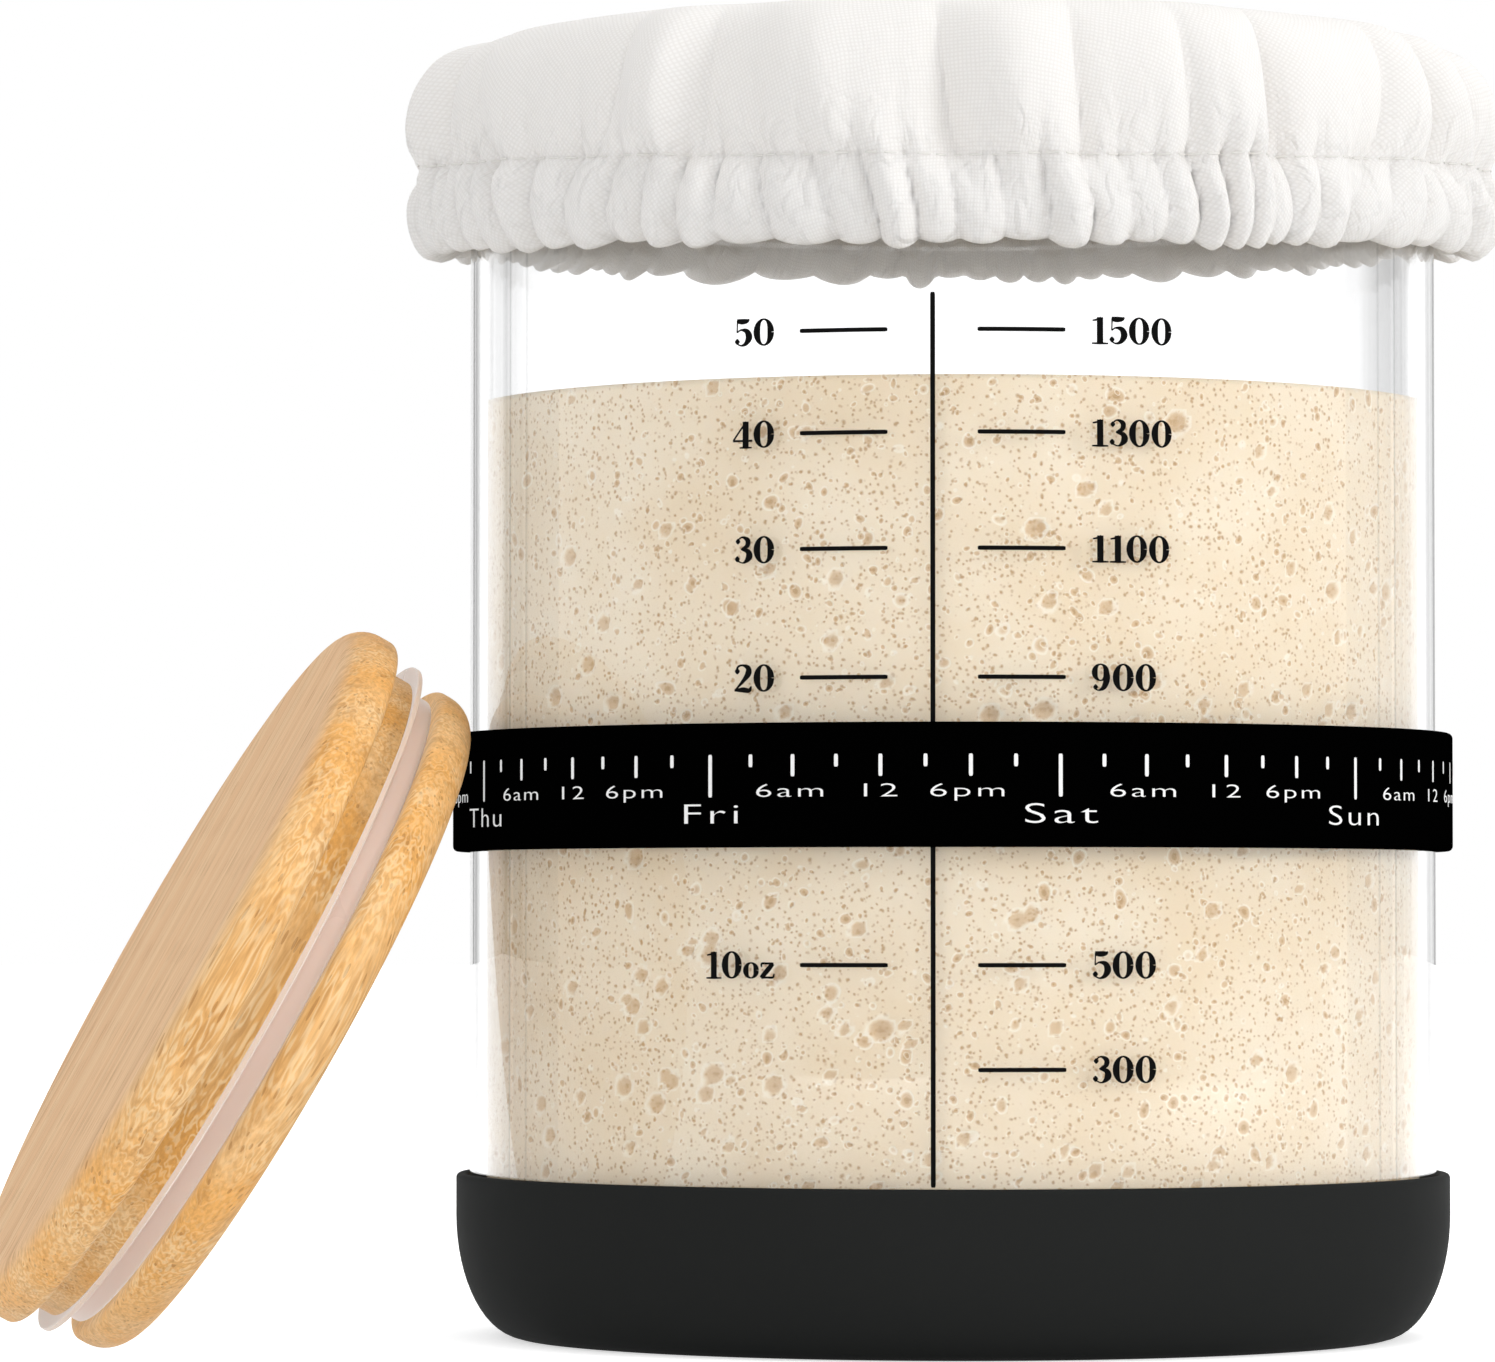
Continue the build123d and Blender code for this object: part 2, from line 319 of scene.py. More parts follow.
class NodeTree:
    """A thin hand for building a material's or a group's nodes."""

    def __init__(self, tree: bpy.types.NodeTree) -> None:
        """Hold the tree that nodes are added to."""
        self.tree = tree

    def fill(self, node: bpy.types.Node, inputs: dict) -> None:
        """Set or link a node's inputs.

        Args:
            node: the node.
            inputs: values or output sockets by input name or index, with colours as red, green and blue.
        """
        for name, value in inputs.items():
            socket = node.inputs[name]
            if isinstance(value, bpy.types.NodeSocket):
                self.tree.links.new(value, socket)
            elif socket.type == "RGBA":
                socket.default_value = (*value, 1.0)
            else:
                socket.default_value = value

    def add(self, kind: str, inputs: dict | None = None, **settings: object) -> bpy.types.Node:
        """Add a node, set its properties, and set or link its inputs.

        Args:
            kind: the node's type name without its ShaderNode part.
            inputs: values or output sockets by input name or index.
            settings: properties of the node.

        Returns:
            The new node.
        """
        node = self.tree.nodes.new("ShaderNode" + kind)
        for name, value in settings.items():
            setattr(node, name, value)
        self.fill(node, inputs or {})
        return node

    def get(self, kind: str, inputs: dict | None = None, output: int | str = 0, **settings: object) -> Socket:
        """Add a node as add does, and return the output that is named or counted."""
        return self.add(kind, inputs, **settings).outputs[output]

    def math(self, operation: str, *values: object) -> Socket:
        """Add a Math node for an operation on values or sockets, and return its output."""
        return self.get("Math", dict(enumerate(values)), operation=operation)

    def vector(self, operation: str, *values: object, output: int | str = 0) -> Socket:
        """Add a Vector Math node for an operation on values or sockets, and return an output."""
        return self.get("VectorMath", dict(enumerate(values)), output, operation=operation)

    def scaled(self, place: Socket, factor: object) -> Socket:
        """Multiply a vector by a number or a socket."""
        return self.get("VectorMath", {0: place, "Scale": factor}, operation="SCALE")

    def mix(self, share: object, first: object, second: object) -> Socket:
        """Mix a share of a second colour into a first one."""
        return self.get("Mix", {0: share, 6: first, 7: second}, 2, data_type="RGBA")

    def noise(
        self, place: Socket, scale: object, detail: float, output: str = "Fac", **more: float
    ) -> Socket:
        """Add a noise texture, with its features per metre and its finer layers, and return an output."""
        return self.get("TexNoise", {"Vector": place, "Scale": scale, "Detail": detail, **more}, output)

    def level(self, name: str) -> Socket:
        """Read a point attribute of the mesh."""
        return self.get("Attribute", output="Fac", attribute_name=name)

    def ramp(self, value: Socket, *stops: Place) -> Socket:
        """Map a value through grey stops.

        Args:
            value: the socket to map.
            stops: pairs of place and grey level, in order.

        Returns:
            The ramp's colour socket.
        """
        node = self.add("ValToRGB", {"Fac": value})
        elements = node.color_ramp.elements
        while len(elements) < len(stops):
            elements.new(1.0)
        for element, (place, level) in zip(elements, stops):
            element.position = place
            element.color = (level, level, level, 1.0)
        return node.outputs[0]

    def bump(self, height: Socket, strength: float, depth: float, below: Socket | None = None,
             invert: bool = False) -> Socket:
        """Turn a height into a bent normal.

        Args:
            height: the height's socket.
            strength: how far it counts, from 0 to 1.
            depth: how deep a height of 1 is, in mm.
            below: the normal of a broader surface under this one.
            invert: whether high values lie deeper.

        Returns:
            The normal's socket.
        """
        inputs = {"Height": height, "Strength": strength, "Distance": depth * MM}
        if below is not None:
            inputs["Normal"] = below
        return self.get("Bump", inputs, invert=invert)


class Group(NodeTree):
    """The nodes of a shader group that turns named inputs into named numbers."""

    def __init__(self, name: str, inputs: dict[str, str], outputs: tuple[str, ...]) -> None:
        """Start the group.

        Args:
            name: the group's name.
            inputs: for each input its kind, Float or Vector.
            outputs: the outputs' names.
        """
        super().__init__(bpy.data.node_groups.new(name, "ShaderNodeTree"))
        for label, kind in inputs.items():
            self.tree.interface.new_socket(label, in_out="INPUT", socket_type="NodeSocket" + kind)
        for label in outputs:
            self.tree.interface.new_socket(label, in_out="OUTPUT", socket_type="NodeSocketFloat")
        self.given = self.tree.nodes.new("NodeGroupInput").outputs
        self.end = self.tree.nodes.new("NodeGroupOutput")

    def finished(self, outputs: dict[str, Socket]) -> bpy.types.NodeTree:
        """Link the outputs and return the group."""
        self.fill(self.end, outputs)
        return self.tree


class Paint(NodeTree):
    """The nodes of a material round its Principled shader."""

    def __init__(self, name: str) -> None:
        """Start a material under a name."""
        self.material = bpy.data.materials.new(name)
        self.material.use_nodes = True
        super().__init__(self.material.node_tree)
        self.principled = self.tree.nodes["Principled BSDF"]
        self.place = self.get("TexCoord", output="Object")

    def finished(self, inputs: dict, surface: Socket | None = None) -> bpy.types.Material:
        """Set or link the shader's inputs and return the material.

        Args:
            inputs: values or sockets by the Principled input's name.
            surface: what the material shows, where that isn't the Principled shader alone.

        Returns:
            The material.
        """
        self.fill(self.principled, inputs)
        if surface is not None:
            self.fill(self.tree.nodes["Material Output"], {"Surface": surface})
        return self.material


def glow(weight: float, radii: tuple[float, float, float]) -> dict:
    """Give the Principled inputs for light that wanders under the skin, with its radii in mm."""
    red, green, blue = radii
    return {
        "Subsurface Weight": weight,
        "Subsurface Radius": (red * MM, green * MM, blue * MM),
        "Subsurface Scale": 1.0,
    }


def speckle_group() -> bpy.types.NodeTree:
    """Build the fine uneven surface that moulded silicone and printed ink share.

    Returns:
        A group that turns a place and a size into a height and a patchy mask.
    """
    group = Group("fine_unevenness", {"Place": "Vector", "Size": "Float"}, ("Height", "Patch"))
    place, size = group.given["Place"], group.given["Size"]
    patch = group.noise(place, group.math("MULTIPLY", size, 0.03), 3.0)
    return group.finished({"Height": group.noise(place, size, 2.0), "Patch": patch})


def bubble_group() -> bpy.types.NodeTree:
    """Build the scattered round marks that bubbles leave in batter.

    A mark's mask is 1 at a Voronoi cell's point and falls evenly to 0 at the mark's edge. Only some cells,
    picked by their random colour, carry a mark, and noise bends the round shapes a little.

    Returns:
        A group that turns a place, cells per metre, a mark's share of its cell and a chance into a mask.
    """
    inputs = {"Place": "Vector", "Cells": "Float", "Share": "Float", "Chance": "Float"}
    group = Group("scattered_bubbles", inputs, ("Mask",))
    place, cells = group.given["Place"], group.given["Cells"]
    bend = group.noise(place, group.math("MULTIPLY", cells, 0.7), 1.0, "Color")
    bend = group.scaled(group.vector("SUBTRACT", bend, (0.5, 0.5, 0.5)), group.math("DIVIDE", 0.7, cells))
    voronoi = group.add("TexVoronoi", {"Vector": group.vector("ADD", place, bend), "Scale": cells})
    edge = group.math("DIVIDE", voronoi.outputs["Distance"], group.given["Share"])
    mask = group.math("MAXIMUM", group.math("SUBTRACT", 1.0, edge), 0.0)
    picked = group.get("SeparateColor", {"Color": voronoi.outputs["Color"]})
    chosen = group.math("LESS_THAN", picked, group.given["Chance"])
    return group.finished({"Mask": group.math("MULTIPLY", mask, chosen)})


@dataclass(frozen=True)
class Silicone:
    """Moulded silicone: a dense colour, a soft gloss and a faintly uneven skin."""

    name: str
    colour: Colour
    roughness: float
    subsurface: float = 0.0
    shine: float = 0.5
    roughness_spread: float = 0.12
    depth: float = 0.02
    grain: float = 1400.0

    def build(self, unevenness: bpy.types.NodeTree) -> bpy.types.Material:
        """Make the material.

        Args:
            unevenness: the shared surface group.

        Returns:
            The material.
        """
        paint = Paint(self.name)
        skin = paint.add("Group", {"Place": paint.place, "Size": self.grain}, node_tree=unevenness).outputs
        lowest = self.roughness - self.roughness_spread
        return paint.finished({
            "Base Color": self.colour,
            "Roughness": paint.math("MULTIPLY_ADD", skin["Patch"], 2.0 * self.roughness_spread, lowest),
            "Specular IOR Level": self.shine,
            "Normal": paint.bump(skin["Height"], 0.25, self.depth),
            **glow(self.subsurface, (3.0, 2.0, 1.5)),
        })


@dataclass(frozen=True)
class ClearGlass:
    """Clear glass that lets lamps light what it holds, with painted reflections: grey lines in its colour
    where its wall is seen edge on.
    """

    name: str = "clear_glass"
    body: Colour = (0.99, 0.992, 0.995)
    # The grey of the painted reflection lines
    edge: Colour = (0.05, 0.052, 0.056)
    passed: Colour = (0.96, 0.965, 0.965)
    bend: float = 1.45
    # Painted reflections: how grey the outer skin looks, from 0 to 1, against how steeply it is seen, from 0
    # face on to 1 edge on
    painted_edge_lines: Stops = (
        (0.424, 0.0), (0.426, 0.1), (0.529, 0.13), (0.531, 0.35), (0.536, 0.35), (0.539, 0.12), (0.585, 0.16),
        (0.588, 0.0), (0.598, 0.0), (0.6, 0.5), (0.605, 0.5), (0.608, 0.18), (0.64, 0.12), (0.644, 0.0),
        (0.8, 0.0), (0.815, 0.5), (0.85, 0.5), (0.857, 0.1), (1.0, 0.3),
    )

    def build(self) -> bpy.types.Material:
        """Make the material."""
        paint = Paint(self.name)
        facing = paint.get("LayerWeight", {"Blend": 0.5}, "Facing")
        # Painted reflections: grey lines in the outer skin's colour, set by how steeply it is seen
        painted_edge_shade = paint.math("MULTIPLY", paint.ramp(facing, *self.painted_edge_lines), paint.level("outer_skin"))
        path = paint.add("LightPath").outputs
        passing = paint.math("MAXIMUM", path["Is Shadow Ray"], path["Is Diffuse Ray"])
        clear = paint.get("BsdfTransparent", {"Color": self.passed})
        surface = paint.get("MixShader", {0: passing, 1: paint.principled.outputs[0], 2: clear})
        return paint.finished({
            "Base Color": paint.mix(painted_edge_shade, self.body, self.edge),
            "Roughness": 0.0,
            "IOR": self.bend,
            "Transmission Weight": 1.0,
        }, surface)


@dataclass(frozen=True)
class Ink:
    """A plain printed ink, slightly satin and a little patchy."""

    name: str
    colour: Colour
    roughness: float = 0.5
    shine: float = 0.3
    grain: float = 2500.0
    wear: float = 0.88

    def build(self, unevenness: bpy.types.NodeTree) -> bpy.types.Material:
        """Make the material.

        Args:
            unevenness: the shared surface group.

        Returns:
            The material.
        """
        paint = Paint(self.name)
        patch = paint.get("Group", {"Place": paint.place, "Size": self.grain}, "Height", node_tree=unevenness)
        worn = tuple(self.wear * level for level in self.colour)
        return paint.finished({
            "Base Color": paint.mix(patch, self.colour, worn),
            "Roughness": self.roughness,
            "Specular IOR Level": self.shine,
        })


@dataclass(frozen=True)
class Bubbles:
    """Scattered marks of one size: how many cells per metre, a mark's share of its cell, and its chance."""

    cells: float
    share: float
    chance: float
    strength: float

    def mask(self, paint: Paint, group: bpy.types.NodeTree) -> Socket:
        """Scatter the marks in a material with their shared group, and return their mask."""
        inputs = {"Place": paint.place, "Cells": self.cells, "Share": self.share, "Chance": self.chance}
        return paint.get("Group", inputs, node_tree=group)


@dataclass(frozen=True)
class Batter:
    """Wet bubbly batter: cream, with tan pinholes, soft craters with darker floors and paler rims; the darker
    floors are painted shade in the hollows.
    """

    name: str = "sourdough_batter"
    cream: Colour = (0.85, 0.69, 0.485)
    pale: Colour = (0.91, 0.78, 0.6)
    rim: Colour = (0.96, 0.86, 0.71)
    tan: Colour = (0.66, 0.44, 0.23)
    # The dark brown that marks darken to; on the floors of bubbles and craters it is painted shade
    floor: Colour = (0.5, 0.29, 0.11)
    # Bubbles, where the strength is a dent's depth, and pinholes, where it is how dark they are
    bubbles: tuple[Bubbles, ...] = (
        Bubbles(230.0, 0.28, 0.42, 1.0), Bubbles(380.0, 0.28, 0.6, 0.8), Bubbles(640.0, 0.29, 0.65, 0.5)
    )
    pinholes: tuple[Bubbles, ...] = (Bubbles(950.0, 0.32, 0.7, 1.3), Bubbles(1400.0, 0.34, 0.65, 1.2))
    darkest: float = 0.85
    cloud_size: float = 60.0
    # Where rim, wall and floor show, against the depth in a bubble or a crater; the darkening towards the
    # floor is painted shade
    bubble_rings: tuple[Stops, ...] = (
        ((0.0, 0.0), (0.12, 0.9), (0.35, 0.0)), ((0.22, 0.0), (0.45, 0.8)), ((0.6, 0.0), (0.75, 0.75))
    )
    crater_rings: tuple[Stops, ...] = (
        ((0.0, 0.0), (0.08, 0.8), (0.26, 0.0)), ((0.2, 0.0), (0.45, 0.7)), ((0.75, 0.0), (0.95, 0.6))
    )

    def ringed(self, paint: Paint, base: Socket, mask: Socket, rings: tuple[Stops, ...]) -> Socket:
        """Colour round marks from their rims to their floors, darker with depth as painted shade in the
        hollows.

        Args:
            paint: the material's nodes.
            base: the colour between the marks.
            mask: the depth in the marks, from 0 to 1.
            rings: where rim, wall and floor show.

        Returns:
            The colour with the marks.
        """
        for colour, stops in zip((self.rim, self.tan, self.floor), rings):
            base = paint.mix(paint.ramp(mask, *stops), base, colour)
        return base

    def build(self, group: bpy.types.NodeTree) -> bpy.types.Material:
        """Make the material.

        Args:
            group: the shared group of scattered marks.

        Returns:
            The material.
        """
        paint = Paint(self.name)
        cloud = paint.noise(paint.place, self.cloud_size, 4.0)
        base = paint.mix(paint.ramp(cloud, (0.35, 0.0), (0.68, 1.0)), self.cream, self.pale)
        relief = 0.0
        for bubbles in self.bubbles:
            mask = bubbles.mask(paint, group)
            base = self.ringed(paint, base, mask, self.bubble_rings)
            relief = paint.math("MULTIPLY_ADD", mask, bubbles.strength, relief)
        for holes in self.pinholes:
            dark = paint.math("MULTIPLY", holes.mask(paint, group), holes.strength)
            base = paint.mix(paint.math("MINIMUM", dark, self.darkest), base, self.floor)
        return paint.finished({
            # The pressed craters darken with depth: painted shade in their hollows
            "Base Color": self.ringed(paint, base, paint.level("crater"), self.crater_rings),
            "Roughness": 0.5,
            "Specular IOR Level": 0.3,
            "Normal": paint.bump(relief, 0.6, 0.35, invert=True),
            **glow(0.2, (1.2, 0.9, 0.6)),
        })


@dataclass(frozen=True)
class Cotton:
    """Plain-woven white cotton: a fine crossing weave in relief, painted shade between its threads, soft
    sheen and a little glow.
    """

    name: str = "white_cotton"
    colour: Colour = (0.885, 0.86, 0.835)
    # Painted shade in the weave, between the threads
    painted_weave_shade: Colour = (0.8, 0.77, 0.74)
    threads_per_metre: float = 1900.0
    slubs_per_metre: float = 420.0
    wobbles_per_metre: float = 160.0
    wobble: float = 0.0011
    creases_round: float = 19.0
    creases_down: float = 150.0

    def weave(self, paint: Paint, place: Socket) -> Socket:
        """Cross two sets of threads: |sin(pi n u)| |sin(pi n v)|, on places that noise bends a little.

        Args:
            paint: the material's nodes.
            place: the place in the flat cut.

        Returns:
            The weave's height.
        """
        reach = (self.wobble, self.wobble, 0.0)
        bend = paint.vector("MULTIPLY", paint.noise(place, self.wobbles_per_metre, 2.0, "Color"), reach)
        split = paint.add("SeparateXYZ", {0: paint.vector("ADD", place, bend)}).outputs
        turns = math.pi * self.threads_per_metre
        waves = [paint.math("SINE", paint.math("MULTIPLY", split[way], turns)) for way in (0, 1)]
        return paint.math("MULTIPLY", *(paint.math("ABSOLUTE", wave) for wave in waves))

    def creases(self, paint: Paint, place: Socket) -> Socket:
        """Lay sharp creases down the cloth, where distorted noise passes its middle.

        Args:
            paint: the material's nodes.
            place: the place in the flat cut.

        Returns:
            The creases' height.
        """
        outward = paint.scaled(paint.vector("NORMALIZE", place), self.creases_round)
        down = paint.math("MULTIPLY", paint.vector("LENGTH", place, output="Value"), self.creases_down)
        split = paint.add("SeparateXYZ", {0: outward}).outputs
        drawn = paint.get("CombineXYZ", {0: split[0], 1: split[1], 2: down})
        crease = paint.math("SUBTRACT", paint.noise(drawn, 1.3, 1.5, Distortion=0.5), 0.5)
        crease = paint.math("MULTIPLY", paint.math("ABSOLUTE", crease), 5.0)
        return paint.math("MULTIPLY", paint.math("MINIMUM", crease, 1.0), paint.level("puckered"))

    def build(self) -> bpy.types.Material:
        """Make the material."""
        paint = Paint(self.name)
        place = paint.get("TexCoord", output="UV")
        weave = self.weave(paint, place)
        slubs = paint.math("MULTIPLY_ADD", paint.noise(place, self.slubs_per_metre, 3.0), 0.8, weave)
        threads = paint.bump(slubs, 0.3, 0.12)
        return paint.finished({
            # Darker between the threads: painted shade
            "Base Color": paint.mix(weave, self.painted_weave_shade, self.colour),
            "Roughness": 0.85,
            "Sheen Weight": 0.12,
            "Sheen Roughness": 0.4,
            "Normal": paint.bump(self.creases(paint, place), 0.5, 1.0, threads),
            **glow(0.4, (1.6, 1.5, 1.4)),
        })


@dataclass(frozen=True)
class Bamboo:
    """Oiled bamboo: narrow strips of straight grain, short dark fibre ends, a darker turned rim, painted
    shade on the neck and under the board, and painted highlight lines on the rim.
    """

    name: str = "oiled_bamboo"
    face: Colour = (0.8, 0.49, 0.25)
    rim: Colour = (0.88, 0.46, 0.14)
    # Painted shade on the neck and the board's underside, where board and seal meet
    neck: Colour = (0.74, 0.36, 0.09)
    light: Colour = (0.92, 0.7, 0.42)
    fibre: Colour = (0.4, 0.18, 0.05)
    # Painted highlight lines on the rim's curly figure
    glint: Colour = (1.0, 0.82, 0.52)
    # Features per metre along the grain and across it
    fine_size: Place = (22.0, 1900.0)
    band_size: Place = (3.0, 140.0)
    dash_size: Place = (160.0, 1500.0)
    strip_size: Place = (7.0, 330.0)
    curl_size: Place = (55.0, 520.0)
    curl_turns: float = 46.0
    patch_size: float = 90.0
    dash_share: float = 0.3
    dash_rarity: float = 0.75

    def build(self, turn: Matrix) -> bpy.types.Material:
        """Make the material.

        Args:
            turn: the turn that takes the object's axes to the board's, with the grain along X.

        Returns:
            The material.
        """
        paint = Paint(self.name)
        board = paint.get("Mapping", {"Vector": paint.place, "Rotation": tuple(turn.to_euler("XYZ"))})

        def drawn(size: Place) -> Socket:
            """Draw the board's places out along the grain."""
            return paint.get("Mapping", {"Vector": board, "Scale": (size[0], size[1], size[1])})

        fine = paint.noise(drawn(self.fine_size), 1.0, 3.0, Roughness=0.6)
        bands = paint.noise(drawn(self.band_size), 1.0, 2.0)
        strips = paint.noise(drawn(self.strip_size), 1.0, 4.0, Roughness=0.7)
        cells = paint.add("TexVoronoi", {"Vector": drawn(self.dash_size), "Scale": 1.0}).outputs
        picked = paint.get("SeparateColor", {"Color": cells["Color"]})
        picked = paint.math("GREATER_THAN", picked, self.dash_rarity)
        dashes = paint.math("MULTIPLY", paint.math("LESS_THAN", cells["Distance"], self.dash_share), picked)
        rim = paint.level("rim")
        # The neck mark paints shade on the neck and the underside
        base = paint.mix(paint.level("neck"), paint.mix(rim, self.face, self.rim), self.neck)
        lighter = paint.mix(0.35, base, self.light)
        base = paint.mix(paint.ramp(bands, (0.38, 0.0), (0.62, 1.0)), base, lighter)
        curl = paint.math("MULTIPLY", paint.noise(drawn(self.curl_size), 1.0, 2.5), self.curl_turns)
        curl = paint.math("SINE", curl)
        patches = paint.ramp(paint.noise(paint.place, self.patch_size, 2.0), (0.38, 0.25), (0.6, 1.0))
        curly = paint.math("MULTIPLY", patches, rim)
        # Painted highlight lines over the rim's figure, and dark fibre lines in its hollows
        painted_glint_line = paint.math("MULTIPLY", paint.ramp(curl, (0.0, 0.0), (0.9, 0.34)), curly)
        hollow = paint.math("MULTIPLY", curl, -1.0)
        dark_line = paint.math("MULTIPLY", paint.ramp(hollow, (0.4, 0.0), (1.0, 0.2)), curly)
        for share, colour in (
            (paint.math("MULTIPLY", paint.ramp(fine, (0.35, 1.0), (0.6, 0.0)), 0.35), self.fibre),
            (paint.math("MULTIPLY", dashes, 0.55), self.fibre),
            (paint.math("MULTIPLY", paint.ramp(strips, (0.36, 1.0), (0.47, 0.0)), 0.32), self.fibre),
            (painted_glint_line, self.glint),
            (dark_line, self.fibre),
        ):
            base = paint.mix(share, base, colour)
        height = paint.math("SUBTRACT", fine, paint.math("MULTIPLY", dashes, 0.6))
        height = paint.math("MULTIPLY_ADD", paint.math("SUBTRACT", painted_glint_line, dark_line), 1.2, height)
        return paint.finished({
            "Base Color": base,
            "Roughness": 0.55,
            "Specular IOR Level": 0.2,
            "Normal": paint.bump(height, 0.35, 0.18),
        })


@dataclass
class Finishes:
    """Every material that pieces share, made once."""

    unevenness: bpy.types.NodeTree = field(default_factory=speckle_group)

    def __post_init__(self) -> None:
        """Make the materials."""
        for place, finish in (
            ("sleeve", Silicone("black_silicone_sleeve", (0.0185, 0.0195, 0.019), 0.6, shine=0.012)),
            ("band", Silicone("black_silicone_band", (0.0004, 0.0004, 0.0004), 0.6, shine=0.0)),
            ("seal", Silicone("milky_silicone", (0.7, 0.52, 0.43), 0.3, subsurface=0.5)),
            ("black_ink", Ink("black_glass_ink", (0.002, 0.002, 0.002), shine=0.05)),
            ("white_ink", Ink("white_band_ink", (0.9, 0.9, 0.9))),
            ("thread", Ink("cotton_thread", (0.8, 0.78, 0.75), 0.8)),
        ):
            setattr(self, place, finish.build(self.unevenness))
        self.glass = ClearGlass().build()
        self.batter = Batter().build(bubble_group())
        self.cotton = Cotton().build()


def dress(obj: bpy.types.Object, material: bpy.types.Material, body: Body, slot: Slot, *nodes: str) -> None:
    """Give a piece its finish and its body, and let it stand for its CAD nodes.

    Args:
        obj: the piece.
        material: its finish.
        body: the body that it rides on.
        slot: the record's slot that its finish belongs to; not used.
        nodes: the CAD nodes that it replaces.
    """
    obj.data.materials.clear()
    obj.data.materials.append(material)
    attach(obj, body.value)
    if nodes:
        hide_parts(*nodes)
    LOG.info("%s rides on %s", obj.name, body.value)


# The sub-assemblies


@dataclass
class GlassJar:
    """The clear glass: a straight body, an elliptical foot, a shoulder, a neck and a rolled rim."""

    radius: float = 65.0 * MM
    wall: float = 2.2 * MM
    bottom: float = 2.0 * MM
    base: float = 5.0 * MM
    corner_width: float = 7.0 * MM
    corner_height: float = 14.5 * MM
    body_top: float = 151.5 * MM
    shoulder_round: float = 9.0 * MM
    mouth: float = 49.3 * MM
    rim_top: float = 170.5 * MM
    rim_height: float = 3.6 * MM
    rim_overhang: float = 1.7 * MM
    wall_rows: int = 40
    floor_rings: int = 8

    @property
    def inside(self) -> float:
        """Radius inside the wall."""
        return self.radius - self.wall

    @property
    def floor(self) -> float:
        """Height of the glass floor."""
        return self.bottom + self.base

    @property
    def inner_corner_height(self) -> float:
        """Height of the rounded corner inside the foot."""
        return self.corner_height - self.base / 2.0

    def inner_corner(self, gap: float = 0.0, steps: int = 16) -> np.ndarray:
        """Give the rounded corner inside the foot, from floor to wall, or one that keeps a gap to it."""
        centre = (self.inside - gap - self.corner_width, self.floor + gap + self.inner_corner_height)
        return quarter(centre, (self.corner_width, self.inner_corner_height), steps=steps)

    def outline(self) -> np.ndarray:
        """Give the wall's outline, from the middle of the underside round the rim to the glass floor.

        Returns:
            Rows of radius and height.
        """
        neck = self.mouth + self.wall
        arch = self.radius - self.shoulder_round
        neck_round = arch - neck
        neck_bottom = self.body_top + self.shoulder_round + neck_round
        rim_bottom, rim_outer = self.rim_top - self.rim_height, neck + self.rim_overhang
        foot_middle = (self.radius - self.corner_width, self.bottom + self.corner_height)
        foot = quarter(foot_middle, (self.corner_width, self.corner_height))
        inner_foot = self.inner_corner()[::-1]
        rim = rounded_outline([
            Corner(neck, neck_bottom + 0.4 * MM),
            Corner(neck, rim_bottom, 0.5 * MM),
            Corner(rim_outer, rim_bottom, 1.1 * MM),
            Corner(rim_outer, self.rim_top, 1.6 * MM),
            Corner(self.mouth, self.rim_top, 0.6 * MM),
            Corner(self.mouth, neck_bottom),
        ], closed=False)
        shoulder, hollow = (arch, self.body_top), (arch, neck_bottom)
        return np.vstack([
            np.linspace((0.0, self.bottom), foot[0], self.floor_rings)[:-1],
            foot,
            np.linspace(foot[-1], (self.radius, self.body_top), self.wall_rows)[1:],
            quarter(shoulder, self.shoulder_round, OUT, UP)[1:],
            quarter(hollow, neck_round, DOWN, IN)[1:],
            rim,
            quarter(hollow, neck_round + self.wall, IN, DOWN)[1:],
            quarter(shoulder, self.shoulder_round - self.wall, UP, OUT)[1:],
            np.linspace((self.inside, self.body_top), inner_foot[0], self.wall_rows)[1:-1],
            inner_foot,
            np.linspace(inner_foot[-1], (0.0, self.floor), self.floor_rings)[1:],
        ])

    def build(self, finishes: Finishes) -> None:
        """Make the glass and let it stand for its CAD node.

        Args:
            finishes: the object's materials.
        """
        glass = turned("jar_glass_body", self.outline())
        outside = np.hypot(*coordinates(glass.data)[:, :2].T) > self.inside + 0.5 * self.wall
        set_point_attribute(glass, "outer_skin", outside)
        dress(glass, finishes.glass, Body.JAR, Slot.GLASS, "glass_jar")


